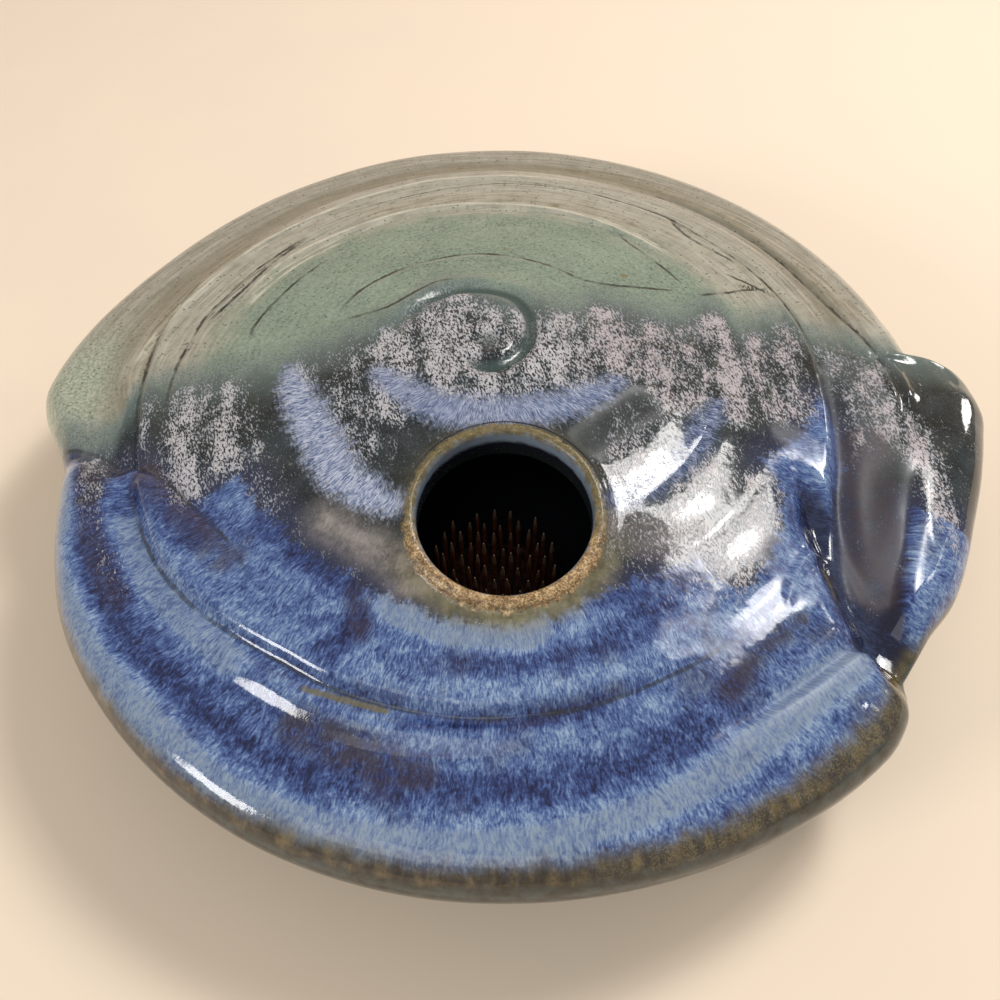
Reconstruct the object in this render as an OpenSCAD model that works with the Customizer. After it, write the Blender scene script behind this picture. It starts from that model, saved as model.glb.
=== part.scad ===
// Ikebana vase: a low, closed disc of wheel-thrown stoneware with an off-centre mouth,
// and the pin frog that stands inside it and lifts out through the mouth.
// The rim is folded into three laps, like a pinwheel. Millimetres, +Z up, table at zero,
// the front of the vase towards -Y, origin under the middle of the disc's outline.

/* [Disc] */
// Radius of the disc's plain rim
disc_r = 105; // [95:1:115]
// Height of the crown above the table
crown_h = 52; // [49:0.5:56]
// Height of the widest line of the rim
rim_h = 26; // [23:0.5:28]
// Radius that rounds the crown
crown_r = 26; // [18:1:34]
// Fall of the top for each unit of radius, away from the crown
top_fall = 0.245; // [0.2:0.005:0.26]
// Depth of the roll between the top and the rim
roll_r = 8; // [6.5:0.5:10]
// Thickness of the thrown wall
wall = 5; // [4:0.5:5.5]
// How far the crown lies to the left of the disc's middle
crown_left = 4.5; // [0:0.5:8]

/* [Foot] */
// Radius of the flat floor
floor_r = 55; // [52:1:62]
// Outer radius of the foot ring
foot_r = 50; // [40:1:52]
// Width of the foot ring
foot_w = 5; // [3:0.5:8]
// Height of the foot ring
foot_h = 4; // [2:0.5:5]

/* [Mouth] */
// Inner radius of the mouth
mouth_r = 16.5; // [15.5:0.5:19]
// Distance from the disc's middle to the mouth's middle, towards the front
mouth_front = 41.5; // [36:0.5:46]
// Distance of the mouth to the left of the disc's middle
mouth_left = 1.6; // [-4:0.2:6]
// Lean of the mouth towards the front
mouth_lean = 13.7; // [8:0.1:18]
// Thickness of the mouth's lip
lip_w = 2.6; // [2:0.1:4]
// Height of the lip above its seat
lip_rise = 1.8; // [1.6:0.1:3.5]
// How far the top is pressed down at the mouth
mouth_sink = 1.2; // [0:0.1:2]
// How far the collar reaches below the top's inner face
collar_drop = 1.5; // [0:0.5:3]
// Width of the blend from the top to the lip's seat
flare_w = 12; // [6:0.5:16]

/* [Laps of the rim] */
// Depth of the hollow under the front lap's right end
hollow_depth = 4.5; // [2:0.25:5]
// Width of that hollow
hollow_w = 8; // [5:0.5:12]
// Depth of the crease that bounds the puffed right lap
crease_depth = 2.2; // [0.5:0.1:3]
// Depth of the crease under the back lap's left end
left_depth = 2.6; // [0.5:0.1:3.5]
// Width of the creases on their shallow side
crease_w = 6; // [4:0.5:9]
// Width of the creases and folds on their steep side
steep_w = 3.5; // [2.5:0.25:5]
// Depth of the lines and of the second fold beside them
line_depth = 1.2; // [0:0.1:1.5]
// Width of those lines, from the middle to each side
line_w = 3; // [2.4:0.1:4]
// Height of the ridges that stand beside the lines
ridge_rise = 0.9; // [0:0.1:1.2]
// How far the puffed right lap swells along its crest
puff_rise = 1.3; // [0:0.1:1.8]
// Depth of the valley inside the smooth outer band
band_depth = 1.1; // [0:0.1:2]
// Width of the smooth outer band
band_w = 16; // [12:0.5:20]

/* [Pin frog] */
// Gap all round the pin frog where it passes the mouth
pass_gap = 3.1; // [2.9:0.1:5]
// How far the pin frog stands to the left of the mouth's middle
frog_left = 2; // [0:0.1:2.5]
// How far the pin frog stands behind the mouth's middle
frog_back = 1; // [0:0.1:1.8]
// Height of the metal base
base_h = 8; // [6:0.5:10]
// Bevel round the metal base
base_bevel = 0.6; // [0.2:0.1:1]
// Thickness of the rubber pad
pad_h = 2; // [1:0.5:3]
// Distance from pin to pin
pin_pitch = 3.3; // [2.8:0.1:4]
// Distance from the outer pins' middles to the edge of the metal base
pin_margin = 1.3; // [1.1:0.1:3]
// Diameter of a pin at its foot
pin_d = 1.2; // [0.9:0.1:1.5]
// Diameter of a pin at its tip
tip_d = 0.4; // [0.2:0.1:0.6]
// Height of the pins
pin_h = 13; // [9:0.5:14]

/* [Hidden] */

// Clearance between the collar and the hole that it sits in
seat_gap = 0.02;
// Facets of the round turned pieces
round_fn = 96;

// Outline of the disc: angle about the middle, from +X towards +Y, and share of disc_r.
// Each lap swells towards its end and then drops to the start of the next one.
outline_shares = [
    [0, 1], [4, 1], [6.5, 0.99], [7.8, 0.96], [8.6, 0.905], [10, 0.89], [20, 0.9], [34, 0.92],
    [49, 0.95], [63, 0.975], [76, 0.995], [90, 1.01], [100, 1.01], [112, 1], [124, 0.985],
    [138, 0.97], [148, 0.965], [156, 0.975], [165, 0.99], [176, 1.003], [180, 0.985],
    [183, 0.96], [187, 0.93], [190, 0.92], [195, 0.925], [203, 0.945], [213, 0.97],
    [224, 0.985], [236, 1], [248, 1.01], [260, 1.0125], [270, 1.01], [285, 1.005], [300, 1],
    [309, 0.995], [313, 0.98], [315.5, 0.955], [317.5, 0.93], [324, 0.925], [331, 0.94],
    [341, 0.945], [350, 0.965], [356, 0.985], [360, 1]];
// Columns of points round the disc: from, to and step in degrees, closer at the laps
column_runs = [[0, 16, 1.6], [16, 172, 4], [172, 216, 1.76], [216, 308, 4], [308, 360, 1.625]];

// Path of the fold at the front lap's right end, from inside to the rim, shares of disc_r
fold_shares = [[0.53, -0.2], [0.55, -0.28], [0.56, -0.36], [0.58, -0.45], [0.61, -0.54],
               [0.65, -0.61], [0.72, -0.68]];
// Path of the crease beside the puffed right lap, from inside to the rim
crease_shares = [[0.76, -0.18], [0.755, -0.26], [0.73, -0.35], [0.69, -0.45], [0.67, -0.53],
                 [0.66, -0.6]];
// Path of the crease under the back lap's left end, from the rim inwards
left_shares = [[-0.95, -0.11], [-0.84, -0.15], [-0.76, -0.2]];
// Path of the long line that starts at the back lap's crease and runs round the front
long_shares = [[-0.733, -0.25], [-0.705, -0.31], [-0.67, -0.39], [-0.62, -0.465], [-0.555, -0.54],
               [-0.495, -0.585], [-0.38, -0.657], [-0.305, -0.7], [-0.19, -0.738], [-0.075, -0.757],
               [0.02, -0.752], [0.115, -0.738], [0.21, -0.705], [0.305, -0.657], [0.4, -0.59]];
// Path of the second fold, beside the hollow and on its inner side
second_shares = [[0.642, 0.05], [0.644, -0.05], [0.638, -0.125], [0.627, -0.21], [0.613, -0.285],
                 [0.606, -0.35], [0.606, -0.43], [0.62, -0.505]];
// Path of the crease behind the smooth roll of the front lap, from its end inwards
flange_shares = [[0.63, -0.59], [0.59, -0.605], [0.54, -0.638], [0.495, -0.675], [0.44, -0.712],
                 [0.36, -0.758], [0.265, -0.805]];
// Path of the crest of the puffed right lap
puff_shares = [[0.82, 0.075], [0.82, -0.075], [0.83, -0.23], [0.79, -0.4], [0.725, -0.525]];

crown_at = [-crown_left, 0];
mouth_at = [-mouth_left, -mouth_front];
seat_r = mouth_r + lip_w;
frog_r = mouth_r - pass_gap;
floor_z = foot_h + wall;
// Angle on the roll where the top runs into it
roll_turn = 76;
roll_steps = 5;
top_rings = 30;
// How much closer the top's rings lie at the rim than at the mouth
ring_ease = 0.4;
inner_rings = 7;
bowl_rings = 7;
bowl_inner_rings = 5;

cols = [for (run = column_runs) for (a = [run[0]:run[2]:run[1] - run[2] / 2]) a];
n = len(cols);

// Slope of the outline at its i-th point, level where the radius turns
function wrap(i) = (i + len(outline_shares) - 1) % (len(outline_shares) - 1);
function step_of(i) = let (a = outline_shares[wrap(i)], b = outline_shares[wrap(i) + 1])
    (b[1] - a[1]) / (b[0] - a[0]);
function slope_of(i) = let (u = step_of(i - 1), v = step_of(i))
    u * v <= 0 ? 0 : 2 * u * v / (u + v);
slope_shares = [for (i = [0:len(outline_shares) - 1]) slope_of(i)];

// Radius of the disc at an angle, on a smooth curve through the outline's points
function cell(a, i = 0) = a < outline_shares[i + 1][0] ? i : cell(a, i + 1);
function rim_r(angle) =
    let (a = angle - 360 * floor(angle / 360), i = cell(a),
         p = outline_shares[i], q = outline_shares[i + 1], w = q[0] - p[0], t = (a - p[0]) / w)
    disc_r * ((1 + 2 * t) * (1 - t) * (1 - t) * p[1] + t * t * (3 - 2 * t) * q[1]
        + w * t * (1 - t) * ((1 - t) * slope_shares[i] - t * slope_shares[i + 1]));

function turn(angle) = [cos(angle), sin(angle)];
function cross2(a, b) = a.x * b.y - a.y * b.x;
function share_of(p, a, b) = min(1, max(0, (p - a) * (b - a) / ((b - a) * (b - a))));
function near(p, a, b) = a + share_of(p, a, b) * (b - a);

// Depth of a groove along a path: a bell across it, of one width on its left side and
// another on its right, that grows from nothing over the path's first stretch
function groove(p, path, depth, left_w, right_w) =
    let (d = [for (i = [0:len(path) - 2]) norm(p - near(p, path[i], path[i + 1]))],
         m = min(d), k = search(m, d)[0],
         side = cross2(path[k + 1] - path[k], p - path[k]),
         w = side > 0 ? left_w : right_w,
         grow = min(1, (k + share_of(p, path[k], path[k + 1])) / (len(path) / 3)))
    depth * grow * exp(-m * m / (w * w));

// The same groove at full depth from end to end
function full_groove(p, path, depth, left_w, right_w) =
    let (d = [for (i = [0:len(path) - 2]) norm(p - near(p, path[i], path[i + 1]))],
         m = min(d), k = search(m, d)[0],
         w = cross2(path[k + 1] - path[k], p - path[k]) > 0 ? left_w : right_w)
    depth * exp(-m * m / (w * w));

// Distance from a path, below zero on its right side, and the share of its segments that lie
// before the nearest spot
function across(p, path) =
    let (d = [for (i = [0:len(path) - 2]) norm(p - near(p, path[i], path[i + 1]))],
         m = min(d), k = search(m, d)[0],
         left = cross2(path[k + 1] - path[k], p - path[k]) > 0)
    [left ? m : -m, (k + share_of(p, path[k], path[k + 1])) / (len(path) - 1)];

// Ridge along a path, at a distance to its left, that grows and fades over shares of the path
function ridge(at, away, rise, left_w, right_w, grow_share, fade_share) =
    let (m = at[0] - away, w = m > 0 ? left_w : right_w,
         ends = ease(at[1] / grow_share) * ease((1 - at[1]) / fade_share))
    rise * ends * exp(-m * m / (w * w));

// Height that the lines, the second fold and the swellings beside them add to the top
function lines_z(p) =
    let (long = across(p, disc_r * long_shares), second = across(p, disc_r * second_shares),
         flange = across(p, disc_r * flange_shares), puff = across(p, disc_r * puff_shares))
    ridge(long, -line_w / 4, -line_depth, line_w, line_w, 0.06, 0.35)
    + ridge(long, line_w, ridge_rise, line_w, line_w, 0.06, 0.35)
    + ridge(second, line_w / 4, -line_depth, steep_w, line_w, 0.15, 0.2)
    + ridge(second, -line_w, ridge_rise, line_w, line_w, 0.15, 0.2)
    + ridge(flange, 0, -line_depth, line_w, line_w, 0.05, 0.5)
    + ridge(flange, 1.6 * line_w, ridge_rise, 1.6 * line_w, line_w, 0.05, 0.5)
    + ridge(puff, 0, puff_rise, crease_w, crease_w, 0.3, 0.2);

// Plain height of the top: a cone, rounded at the crown
function cone_z(p) = crown_h - top_fall * (norm([norm(p - crown_at), crown_r]) - crown_r);

// Height of the top with its folds, creases and the valley inside the outer band
function top_z(p) =
    let (edge = rim_r(atan2(p.y, p.x)) - norm(p))
    cone_z(p)
    + lines_z(p)
    - groove(p, disc_r * fold_shares, hollow_depth, hollow_w, steep_w)
    - groove(p, disc_r * crease_shares, crease_depth, steep_w, crease_w)
    - full_groove(p, disc_r * left_shares, left_depth, crease_w, steep_w)
    - band_depth * exp(-pow((edge - band_w) / (band_w / 4), 2));

// A point of the collar's hole: round the leaning axis, and along it
mouth_z = cone_z(mouth_at) - mouth_sink;
function seat_point(angle, up) =
    let (r = seat_r + seat_gap, u = r * turn(angle))
    [mouth_at.x + u.x,
     mouth_at.y + u.y * cos(mouth_lean) - up * sin(mouth_lean),
     mouth_z + u.y * sin(mouth_lean) + up * cos(mouth_lean)];

function ease(t) = let (s = min(1, max(0, t))) s * s * (3 - 2 * s);
function flat(p) = [p.x, p.y];
function mix(a, b, t) = a + t * (b - a);

// Outer ring of the top: t runs from the mouth's hole to the start of the roll
function top_point(angle, t) =
    let (s = seat_point(angle, 0), edge = rim_r(angle) - roll_r * (1 - cos(roll_turn)),
         p = mix(flat(s), edge * turn(angle), t),
         from_seat = norm(p - flat(s)),
         lift = (s.z - top_z(flat(s))) * (1 - ease(from_seat / flare_w)))
    [p.x, p.y, top_z(p) + lift];

// Outer ring of the roll, from the top down to the rim's widest line
function roll_point(angle, a, cut) =
    let (r = rim_r(angle), z = top_point(angle, 1).z - cut)
    concat((r - cut - (roll_r - cut) * (1 - cos(a))) * turn(angle),
           [rim_h + (z - rim_h) * sin(a) / sin(roll_turn)]);

// Inner ring of the top: the outer one let down by the wall
function under_top(angle, t) =
    let (a = top_point(angle, t), s = seat_point(angle, -wall),
         e = flat(roll_point(angle, roll_turn, wall)), p = mix(flat(s), e, t),
         down = mix(top_point(angle, 0).z - s.z, wall, min(1, t * 3)))
    [p.x, p.y, (t == 0 ? s.z : a.z - down)];

function ring_t(s) = s * (1 + ring_ease * (1 - s));
dome_rings = concat(
    [for (i = [0:top_rings]) [for (a = cols) top_point(a, ring_t(i / top_rings))]],
    [for (i = [1:roll_steps]) [for (a = cols) roll_point(a, roll_turn * (1 - i / roll_steps), 0)]],
    [for (i = [0:2]) [for (a = cols) roll_point(a, roll_turn * i / 2, wall)]],
    [for (i = [1:inner_rings]) [for (a = cols) under_top(a, 1 - i / inner_rings)]]);

// Ring of the lower bowl: a quarter of an ellipse from the rim down to the floor
function bowl_point(angle, a, cut) =
    let (low = cut > 0 ? floor_z : foot_h, r = floor_r + (rim_r(angle) - cut - floor_r) * cos(a))
    concat(r * turn(angle), [rim_h - (rim_h - low) * sin(a)]);

bowl_rings_list = concat(
    [for (i = [0:bowl_rings]) [for (a = cols) bowl_point(a, 90 * (1 - i / bowl_rings), 0)]],
    [for (i = [0:bowl_inner_rings]) [for (a = cols) bowl_point(a, 90 * i / bowl_inner_rings, wall)]]);

// Faces between the rings k and m, each of n points
function band(k, m) = [for (j = [0:n - 1]) for (f = [
    [k * n + j, m * n + j, m * n + (j + 1) % n],
    [k * n + j, m * n + (j + 1) % n, k * n + (j + 1) % n]]) f];
function joined(lists) = [for (l = lists) for (x = l) x];

// Closed skin over rings whose last one meets the first
module ring_skin(rings) {
    faces = joined([for (k = [0:len(rings) - 1]) band(k, (k + 1) % len(rings))]);
    polyhedron(joined(rings), faces, 4);
}

// Closed skin over rings with a flat cap on the first and on the last
module cup_skin(rings) {
    sides = joined([for (k = [0:len(rings) - 2]) band(k, k + 1)]);
    last = len(rings) - 1;
    caps = [[for (j = [0:n - 1]) j], [for (j = [0:n - 1]) last * n + n - 1 - j]];
    polyhedron(joined(rings), concat(sides, caps), 4);
}

module foot_ring() {
    color([0.46, 0.38, 0.3])
    rotate_extrude($fn = round_fn)
    translate([foot_r - foot_w, 0])
    square([foot_w, foot_h]);
}

module lower_bowl() {
    color([0.36, 0.44, 0.58])
    cup_skin(bowl_rings_list);
}

module upper_dome() {
    color([0.3, 0.42, 0.62])
    ring_skin(dome_rings);
}

// Upright wall of the mouth with a fully rounded lip
module mouth_collar() {
    low = -wall - collar_drop;
    lip_c = lip_rise - lip_w / 2;
    color([0.55, 0.42, 0.24])
    translate([mouth_at.x, mouth_at.y, mouth_z])
    rotate([mouth_lean, 0, 0])
    rotate_extrude($fn = round_fn)
    union() {
        translate([mouth_r, low])
        square([lip_w, lip_c - low]);
        intersection() {
            translate([mouth_r + lip_w / 2, lip_c])
            circle(d = lip_w, $fn = round_fn / 2);
            translate([mouth_r, lip_c])
            square([lip_w, lip_w]);
        }
    }
}

module at_frog(z) {
    translate([mouth_at.x - frog_left, mouth_at.y + frog_back, z])
    children();
}

module kenzan_pad() {
    color([0.1, 0.1, 0.1])
    at_frog(floor_z)
    cylinder(r = frog_r, h = pad_h, $fn = round_fn);
}

module kenzan_base() {
    color([0.35, 0.33, 0.3])
    at_frog(floor_z + pad_h)
    rotate_extrude($fn = round_fn)
    polygon([[0, 0], [frog_r - base_bevel, 0], [frog_r, base_bevel],
             [frog_r, base_h - base_bevel], [frog_r - base_bevel, base_h], [0, base_h]]);
}

// Pins on a three-way grid, as many as the metal base holds
module kenzan_pins() {
    reach = frog_r - pin_margin;
    rows = floor(reach / (pin_pitch * sin(60)));
    color([0.5, 0.34, 0.2])
    at_frog(floor_z + pad_h + base_h)
    for (row = [-rows:rows])
        for (k = [-2 * rows:2 * rows])
            let (p = pin_pitch * [k + (row % 2 == 0 ? 0 : 0.5), row * sin(60)])
                if (norm(p) <= reach)
                    translate(p)
                    cylinder(d1 = pin_d, d2 = tip_d, h = pin_h, $fn = 16);
}

foot_ring();
lower_bowl();
upper_dome();
mouth_collar();
kenzan_pad();
kenzan_base();
kenzan_pins();
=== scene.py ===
import bpy
import numpy as np
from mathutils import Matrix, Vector


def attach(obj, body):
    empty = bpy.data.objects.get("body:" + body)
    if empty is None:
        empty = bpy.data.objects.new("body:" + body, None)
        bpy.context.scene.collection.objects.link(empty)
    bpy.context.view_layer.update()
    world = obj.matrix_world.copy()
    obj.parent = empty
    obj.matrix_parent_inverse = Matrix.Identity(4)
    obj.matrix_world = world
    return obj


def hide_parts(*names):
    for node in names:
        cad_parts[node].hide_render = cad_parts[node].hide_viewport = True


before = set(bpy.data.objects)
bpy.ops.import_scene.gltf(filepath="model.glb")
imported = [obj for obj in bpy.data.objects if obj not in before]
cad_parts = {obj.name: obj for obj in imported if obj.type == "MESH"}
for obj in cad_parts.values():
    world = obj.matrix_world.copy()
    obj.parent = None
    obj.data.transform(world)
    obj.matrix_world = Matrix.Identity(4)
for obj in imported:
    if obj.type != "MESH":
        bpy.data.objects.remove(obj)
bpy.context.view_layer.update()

# Flower vase of wheel-thrown stoneware: a low closed disc whose rim is folded into three laps,
# glazed sage behind, mauve over black in the middle and cobalt in front, and its pin frog.
# Every length is in millimetres in the CAD model's frame; MM turns it into metres.
MM = 0.001

# Disc, as the CAD source has it
DISC_R, CROWN_H, RIM_H, CROWN_R = 105.0, 52.0, 26.0, 26.0
TOP_FALL, ROLL_R, WALL = 0.245, 8.0, 5.0
CROWN = (-4.5, 0.0)
FLOOR_R, FOOT_R, FOOT_W, FOOT_H, FLOOR_Z = 55.0, 50.0, 5.0, 4.0, 9.0
MOUTH, MOUTH_R, MOUTH_LEAN = (-1.6, -41.5), 16.5, np.radians(13.7)
LIP_W, LIP_RISE, MOUTH_SINK, COLLAR_DROP, FLARE_W = 2.6, 1.8, 1.2, 1.5, 12.0
SEAT_R, SEAT_GAP = MOUTH_R + LIP_W, 0.02
HOLLOW_DEPTH, HOLLOW_W, CREASE_DEPTH, LEFT_DEPTH = 4.5, 8.0, 2.2, 2.6
CREASE_W, STEEP_W, BAND_DEPTH, BAND_W = 6.0, 3.5, 1.1, 16.0
ROLL_TURN = np.radians(76.0)
# How far the glazed skin stays inside the CAD outline, the dip in its crown, and how far all of
# the top lies below the CAD's
INSET, CROWN_DIP, UNDER_CROWN = 0.1, 0.45, 0.12

# Pin frog, with the heights of the two lines turned in its base
FROG_AT, FROG_R, PAD_H, BASE_H, BASE_BEVEL = (-3.6, -40.5), 13.4, 2.0, 8.0, 0.6
BASE_LINES = (5.15, 2.85)
PIN_PITCH, PIN_MARGIN, PIN_D, PIN_H = 3.3, 1.3, 1.2, 13.0
# The pins' random seed, their lean, the shortest as a share of the tallest, and their sides
PIN_SEED, PIN_LEAN, PIN_SHORT, PIN_SIDES = 7, 0.026, 0.88, 12
# One pin, from foot to point: shares of its height and of its radius
PIN_SHAPE = [(0, 1), (0.02, 0.86), (0.3, 0.84), (0.62, 0.82), (0.78, 0.78), (0.88, 0.62),
             (0.95, 0.42), (0.985, 0.26), (1.0, 0.1)]

# Columns of points round the disc, and where they crowd: degrees, width, how many times more
COUNT = 620
CROWDED = ((7.5, 3.5, 5.0), (184, 8, 1.6), (316, 7, 2.0), (337, 12, 0.8))
# Rows of points: in the roll, at these distances from the mouth's seat, and in the roll's inside
ROLL_ROWS = 12
FILLET_STEPS = np.array([0, 0.25, 0.5, 0.8, 1.15, 1.6, 2.2, 3.0])
UNDER_STEPS = np.array([0.0, 0.35, 0.7, 1.0])
# Share of the flare that the inner skin follows near the mouth's hole
UNDER_FLARE = 0.9
# Lip: how far inside the seat its crest lies, the height of its flank's foot, and the height
# above the seat at which the bore starts
CREST_IN, LIP_FOOT, LIP_CREST = 1.4, 1.1, 0.4
# Depth down the bore for its shader, at rows of the mouth's points
BORE = [(0, -0.1), (6, 0), (13, 0.9), (21, 8), (22, 8)]

# Outline of the disc: degrees about the middle from +X towards +Y, and share of DISC_R
OUTLINE = np.array([
    (0, 1), (4, 1), (6.5, 0.99), (7.8, 0.96), (8.6, 0.905), (10, 0.89), (20, 0.9), (34, 0.92),
    (49, 0.95), (63, 0.975), (76, 0.995), (90, 1.01), (100, 1.01), (112, 1), (124, 0.985),
    (138, 0.97), (148, 0.965), (156, 0.975), (165, 0.99), (176, 1.003), (180, 0.985),
    (183, 0.96), (187, 0.93), (190, 0.92), (195, 0.925), (203, 0.945), (213, 0.97),
    (224, 0.985), (236, 1), (248, 1.01), (260, 1.0125), (270, 1.01), (285, 1.005), (300, 1),
    (309, 0.995), (313, 0.98), (315.5, 0.955), (317.5, 0.93), (324, 0.925), (331, 0.94),
    (341, 0.945), (350, 0.965), (356, 0.985), (360, 1)], float)

# Lines worked into the clay of the top. Each has its path in plan, its bells across the path
# (offset to the left of it, height, width on the left and on the right), and the shares of its
# length over which it grows at its start and fades at its end.
RELIEF = {
    "front lap fold": ([(55.6, -21), (57.8, -29.4), (58.8, -37.8), (60.9, -47.3), (64, -56.7),
                        (68.3, -64), (75.6, -71.4)],
                       [(0, -HOLLOW_DEPTH, HOLLOW_W, STEEP_W)], 0.33, 0),
    "puffed lap crease": ([(79.8, -18.9), (79.3, -27.3), (76.7, -36.8), (72.5, -47.3),
                           (70.4, -55.7), (69.3, -63)],
                          [(0, -CREASE_DEPTH, 2.2, CREASE_W)], 0.33, 0),
    "back lap crease": ([(-99.8, -11.6), (-88.2, -15.8), (-79.8, -21)],
                        [(0, -LEFT_DEPTH, CREASE_W, STEEP_W)], 0, 0),
    "back lap roll": ([(-103, -1), (-96, -6), (-89, -11), (-82, -16)],
                      [(0, 1.2, 3, 3)], 0.1, 0.4),
    "puffed lap crest": ([(88, 30), (92, 12), (93, -4), (93, -20), (92, -36), (86, -52)],
                         [(0, 1.3, 6, 9)], 0.1, 0.7),
    "puffed lap swelling": ([(83, -3), (82.5, -17)], [(0, 1.8, 12, 10)], 0, 0),
    "second fold": ([(67.4, 6), (67.6, -5), (67, -13), (65.8, -22), (64.4, -30), (63.6, -37),
                     (63.6, -45), (65, -53)],
                    [(0, -1.6, 3.2, 1.6), (-2.1, 0.9, 1.6, 1.8)], 0.15, 0.2),
    "puffed lap shoulder": ([(99, 8), (98.8, 0), (97.2, -8), (95, -16), (92, -24)],
                            [(0, 0.9, 3.6, 3.2)], 0.2, 0.4),
    "long spiral line": ([(-42, 60), (-35, 65), (-28, 68.5), (-20, 72), (-10, 75), (0, 76),
                          (10, 75), (20, 72), (30, 67), (40, 60.5), (47, 52.5), (53, 45),
                          (58.5, 36.5), (62, 29.5), (65, 20), (66.6, 10), (66.8, 3)],
                         [(0, -0.5, 0.8, 0.8), (-1.6, 0.3, 1.2, 1)], 0.1, 0),
    "spiral line's end": ([(40, 60.5), (41.2, 56), (44, 51), (49, 45.5), (54, 40)],
                          [(0, -0.5, 0.8, 0.8)], 0.1, 0.4),
    "lobe groove": ([(31, 80), (40, 75), (50, 67.5), (60, 57), (66, 48), (70, 40), (74, 32),
                     (77.5, 25), (80.5, 18), (82.5, 12), (83.6, 5), (83.6, -3), (82.5, -10)],
                    [(0, -0.8, 0.9, 0.9), (-1.8, 0.4, 1.1, 1.1), (1.8, 0.3, 1, 1)], 0.2, 0.1),
    "main left line": ([(-77, -26), (-74, -33), (-70.5, -41), (-65.5, -49), (-58.5, -56.5),
                        (-52, -61.5), (-46, -65.5), (-40, -69), (-32, -73.5), (-20, -77.5),
                        (-8, -79.5), (2, -79), (12, -77.5), (22, -74), (32, -69), (42, -62)],
                       [(0, -1.2, 1.2, 2.2), (2.8, 0.8, 3.4, 2.2)], 0.03, 0.35),
    "second front ridge": ([(-57, -64), (-47, -70), (-40, -74), (-33, -77.5), (-22, -81),
                            (-10, -82.5), (0, -82), (12, -80)],
                           [(0, 0.6, 1.8, 2), (-3.4, -0.3, 2, 2)], 0.25, 0.3),
    "lens line": ([(-78.5, -20), (-74, -23), (-69, -27.5), (-63, -34), (-57, -40), (-52, -46),
                   (-48, -53)],
                  [(0, -0.9, 3.2, 1.5), (-4, 0.5, 2.5, 3)], 0.05, 0.3),
    "left upright line": ([(-73, 38), (-76, 30), (-78.6, 20), (-79.6, 10), (-79.6, 0),
                           (-79.2, -9), (-78, -20)],
                          [(0, -1, 1, 1), (1.9, 0.55, 1.2, 1.2)], 0.3, 0),
    "left short line": ([(-70, 14), (-72, 6), (-72.6, -2), (-72, -10)],
                        [(0, -0.5, 0.9, 0.9)], 0.3, 0.4),
    "pale back ring": ([(-62, 22), (-57, 33), (-50, 42), (-40, 50), (-30, 56), (-20, 60),
                        (-10, 61.5), (0, 61), (10, 59.5), (20, 55), (28, 49), (35, 42),
                        (40, 36.5)],
                       [(0, 0.7, 1.2, 1.2), (-2.6, -0.4, 1, 1), (2.8, -0.35, 1.4, 1.4)],
                       0.2, 0.1),
    "outer back ring": ([(-80, 8), (-77.5, 20), (-73, 30), (-66, 42), (-60, 51), (-50, 60),
                         (-40, 68), (-30, 74), (-20, 78), (0, 80.5), (15, 79), (28, 75)],
                        [(0, 0.5, 1.3, 1.3), (2.6, -0.25, 1, 1)], 0.1, 0.3),
    "left back ring": ([(-71, 10), (-69, 20), (-65, 28), (-60.5, 36), (-55, 43.5), (-49, 51)],
                       [(0, -0.45, 0.8, 0.8), (-1.5, 0.4, 1, 1)], 0.1, 0.3),
    "centre line": ([(-38, 13), (-34, 20), (-28, 26), (-20, 31), (-10, 34), (0, 33), (8, 29.5),
                     (13, 26), (16, 23)],
                    [(0, -0.3, 0.7, 0.7), (-2, 0.2, 2, 1.4)], 0.1, 0.2),
    "finger spiral": ([(-9.5, -2), (-8.6, -6), (-5, -7.8), (-1.4, -6.6), (1.6, -3.6), (3.6, 0.5),
                       (4.2, 5), (3.2, 10.5), (0.7, 14.8), (-2.9, 17), (-7, 18), (-12.2, 17.8),
                       (-18, 14), (-22.5, 8.6), (-25.8, 3.6), (-29, -1.8), (-31, -9)],
                      [(0, -1.2, 1.8, 1.9), (-3.2, 0.5, 1.8, 2.4), (3.2, 0.3, 2, 1.6)], 0.12, 0.4),
    "right lobe edge": ([(53, -28), (53.6, -36), (51, -46), (46, -54), (38, -60.5),
                         (28, -66.5), (18, -71), (6, -74)],
                        [(1.3, -0.2, 2.2, 1.6)], 0.15, 0.5),
    "swoosh": ([(49, -58), (52, -51), (55, -46.5), (58, -44), (60.2, -46.5), (60.8, -53)],
               [(0, 0.6, 1, 1), (-1.8, -0.4, 1, 1)], 0.3, 0.2),
    "fold lip": ([(57, -22), (59.2, -30), (60.6, -38), (61.8, -47), (65, -57)],
                 [(2.2, 0.8, 1.6, 1.2)], 0.2, 0.3),
    "flange crease": ([(66, -62), (62, -63.5), (57, -67), (52, -70.8), (46, -74.8),
                       (38, -79.6), (28, -84.6)],
                      [(-0.5, -1.2, 1.3, 1.9), (2, 0.9, 6, 1.3)], 0.05, 0.5),
    "flange end": ([(60, -75), (62, -76.2), (64, -77.4)], [(0, 0.3, 1.7, 1.7)], 0.3, 0.3),
    "left band crease": ([(-92, -24), (-88, -33), (-84, -41), (-80, -49), (-76, -56),
                          (-70, -64), (-62, -71.5), (-55, -78), (-47, -84.5), (-38, -90),
                          (-25, -94.5), (-10, -96.5), (5, -96), (20, -92.5), (33, -86)],
                         [(0, -0.6, 2.4, 1.8)], 0.15, 0.4),
}
# Rings left by the fingers round the crown: radius of one crest, distance from crest to crest,
# height on the right and elsewhere
RING_R, RING_STEP, RING_H, RING_LOW_H = 40.2, 13.2, 0.5, 0.1
# The radius and the distance from the rim at which the rings start, and how fast they grow
RING_FROM, RING_GROW, RING_EDGE, RING_FADE = 27, 9, 10, 14
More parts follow.
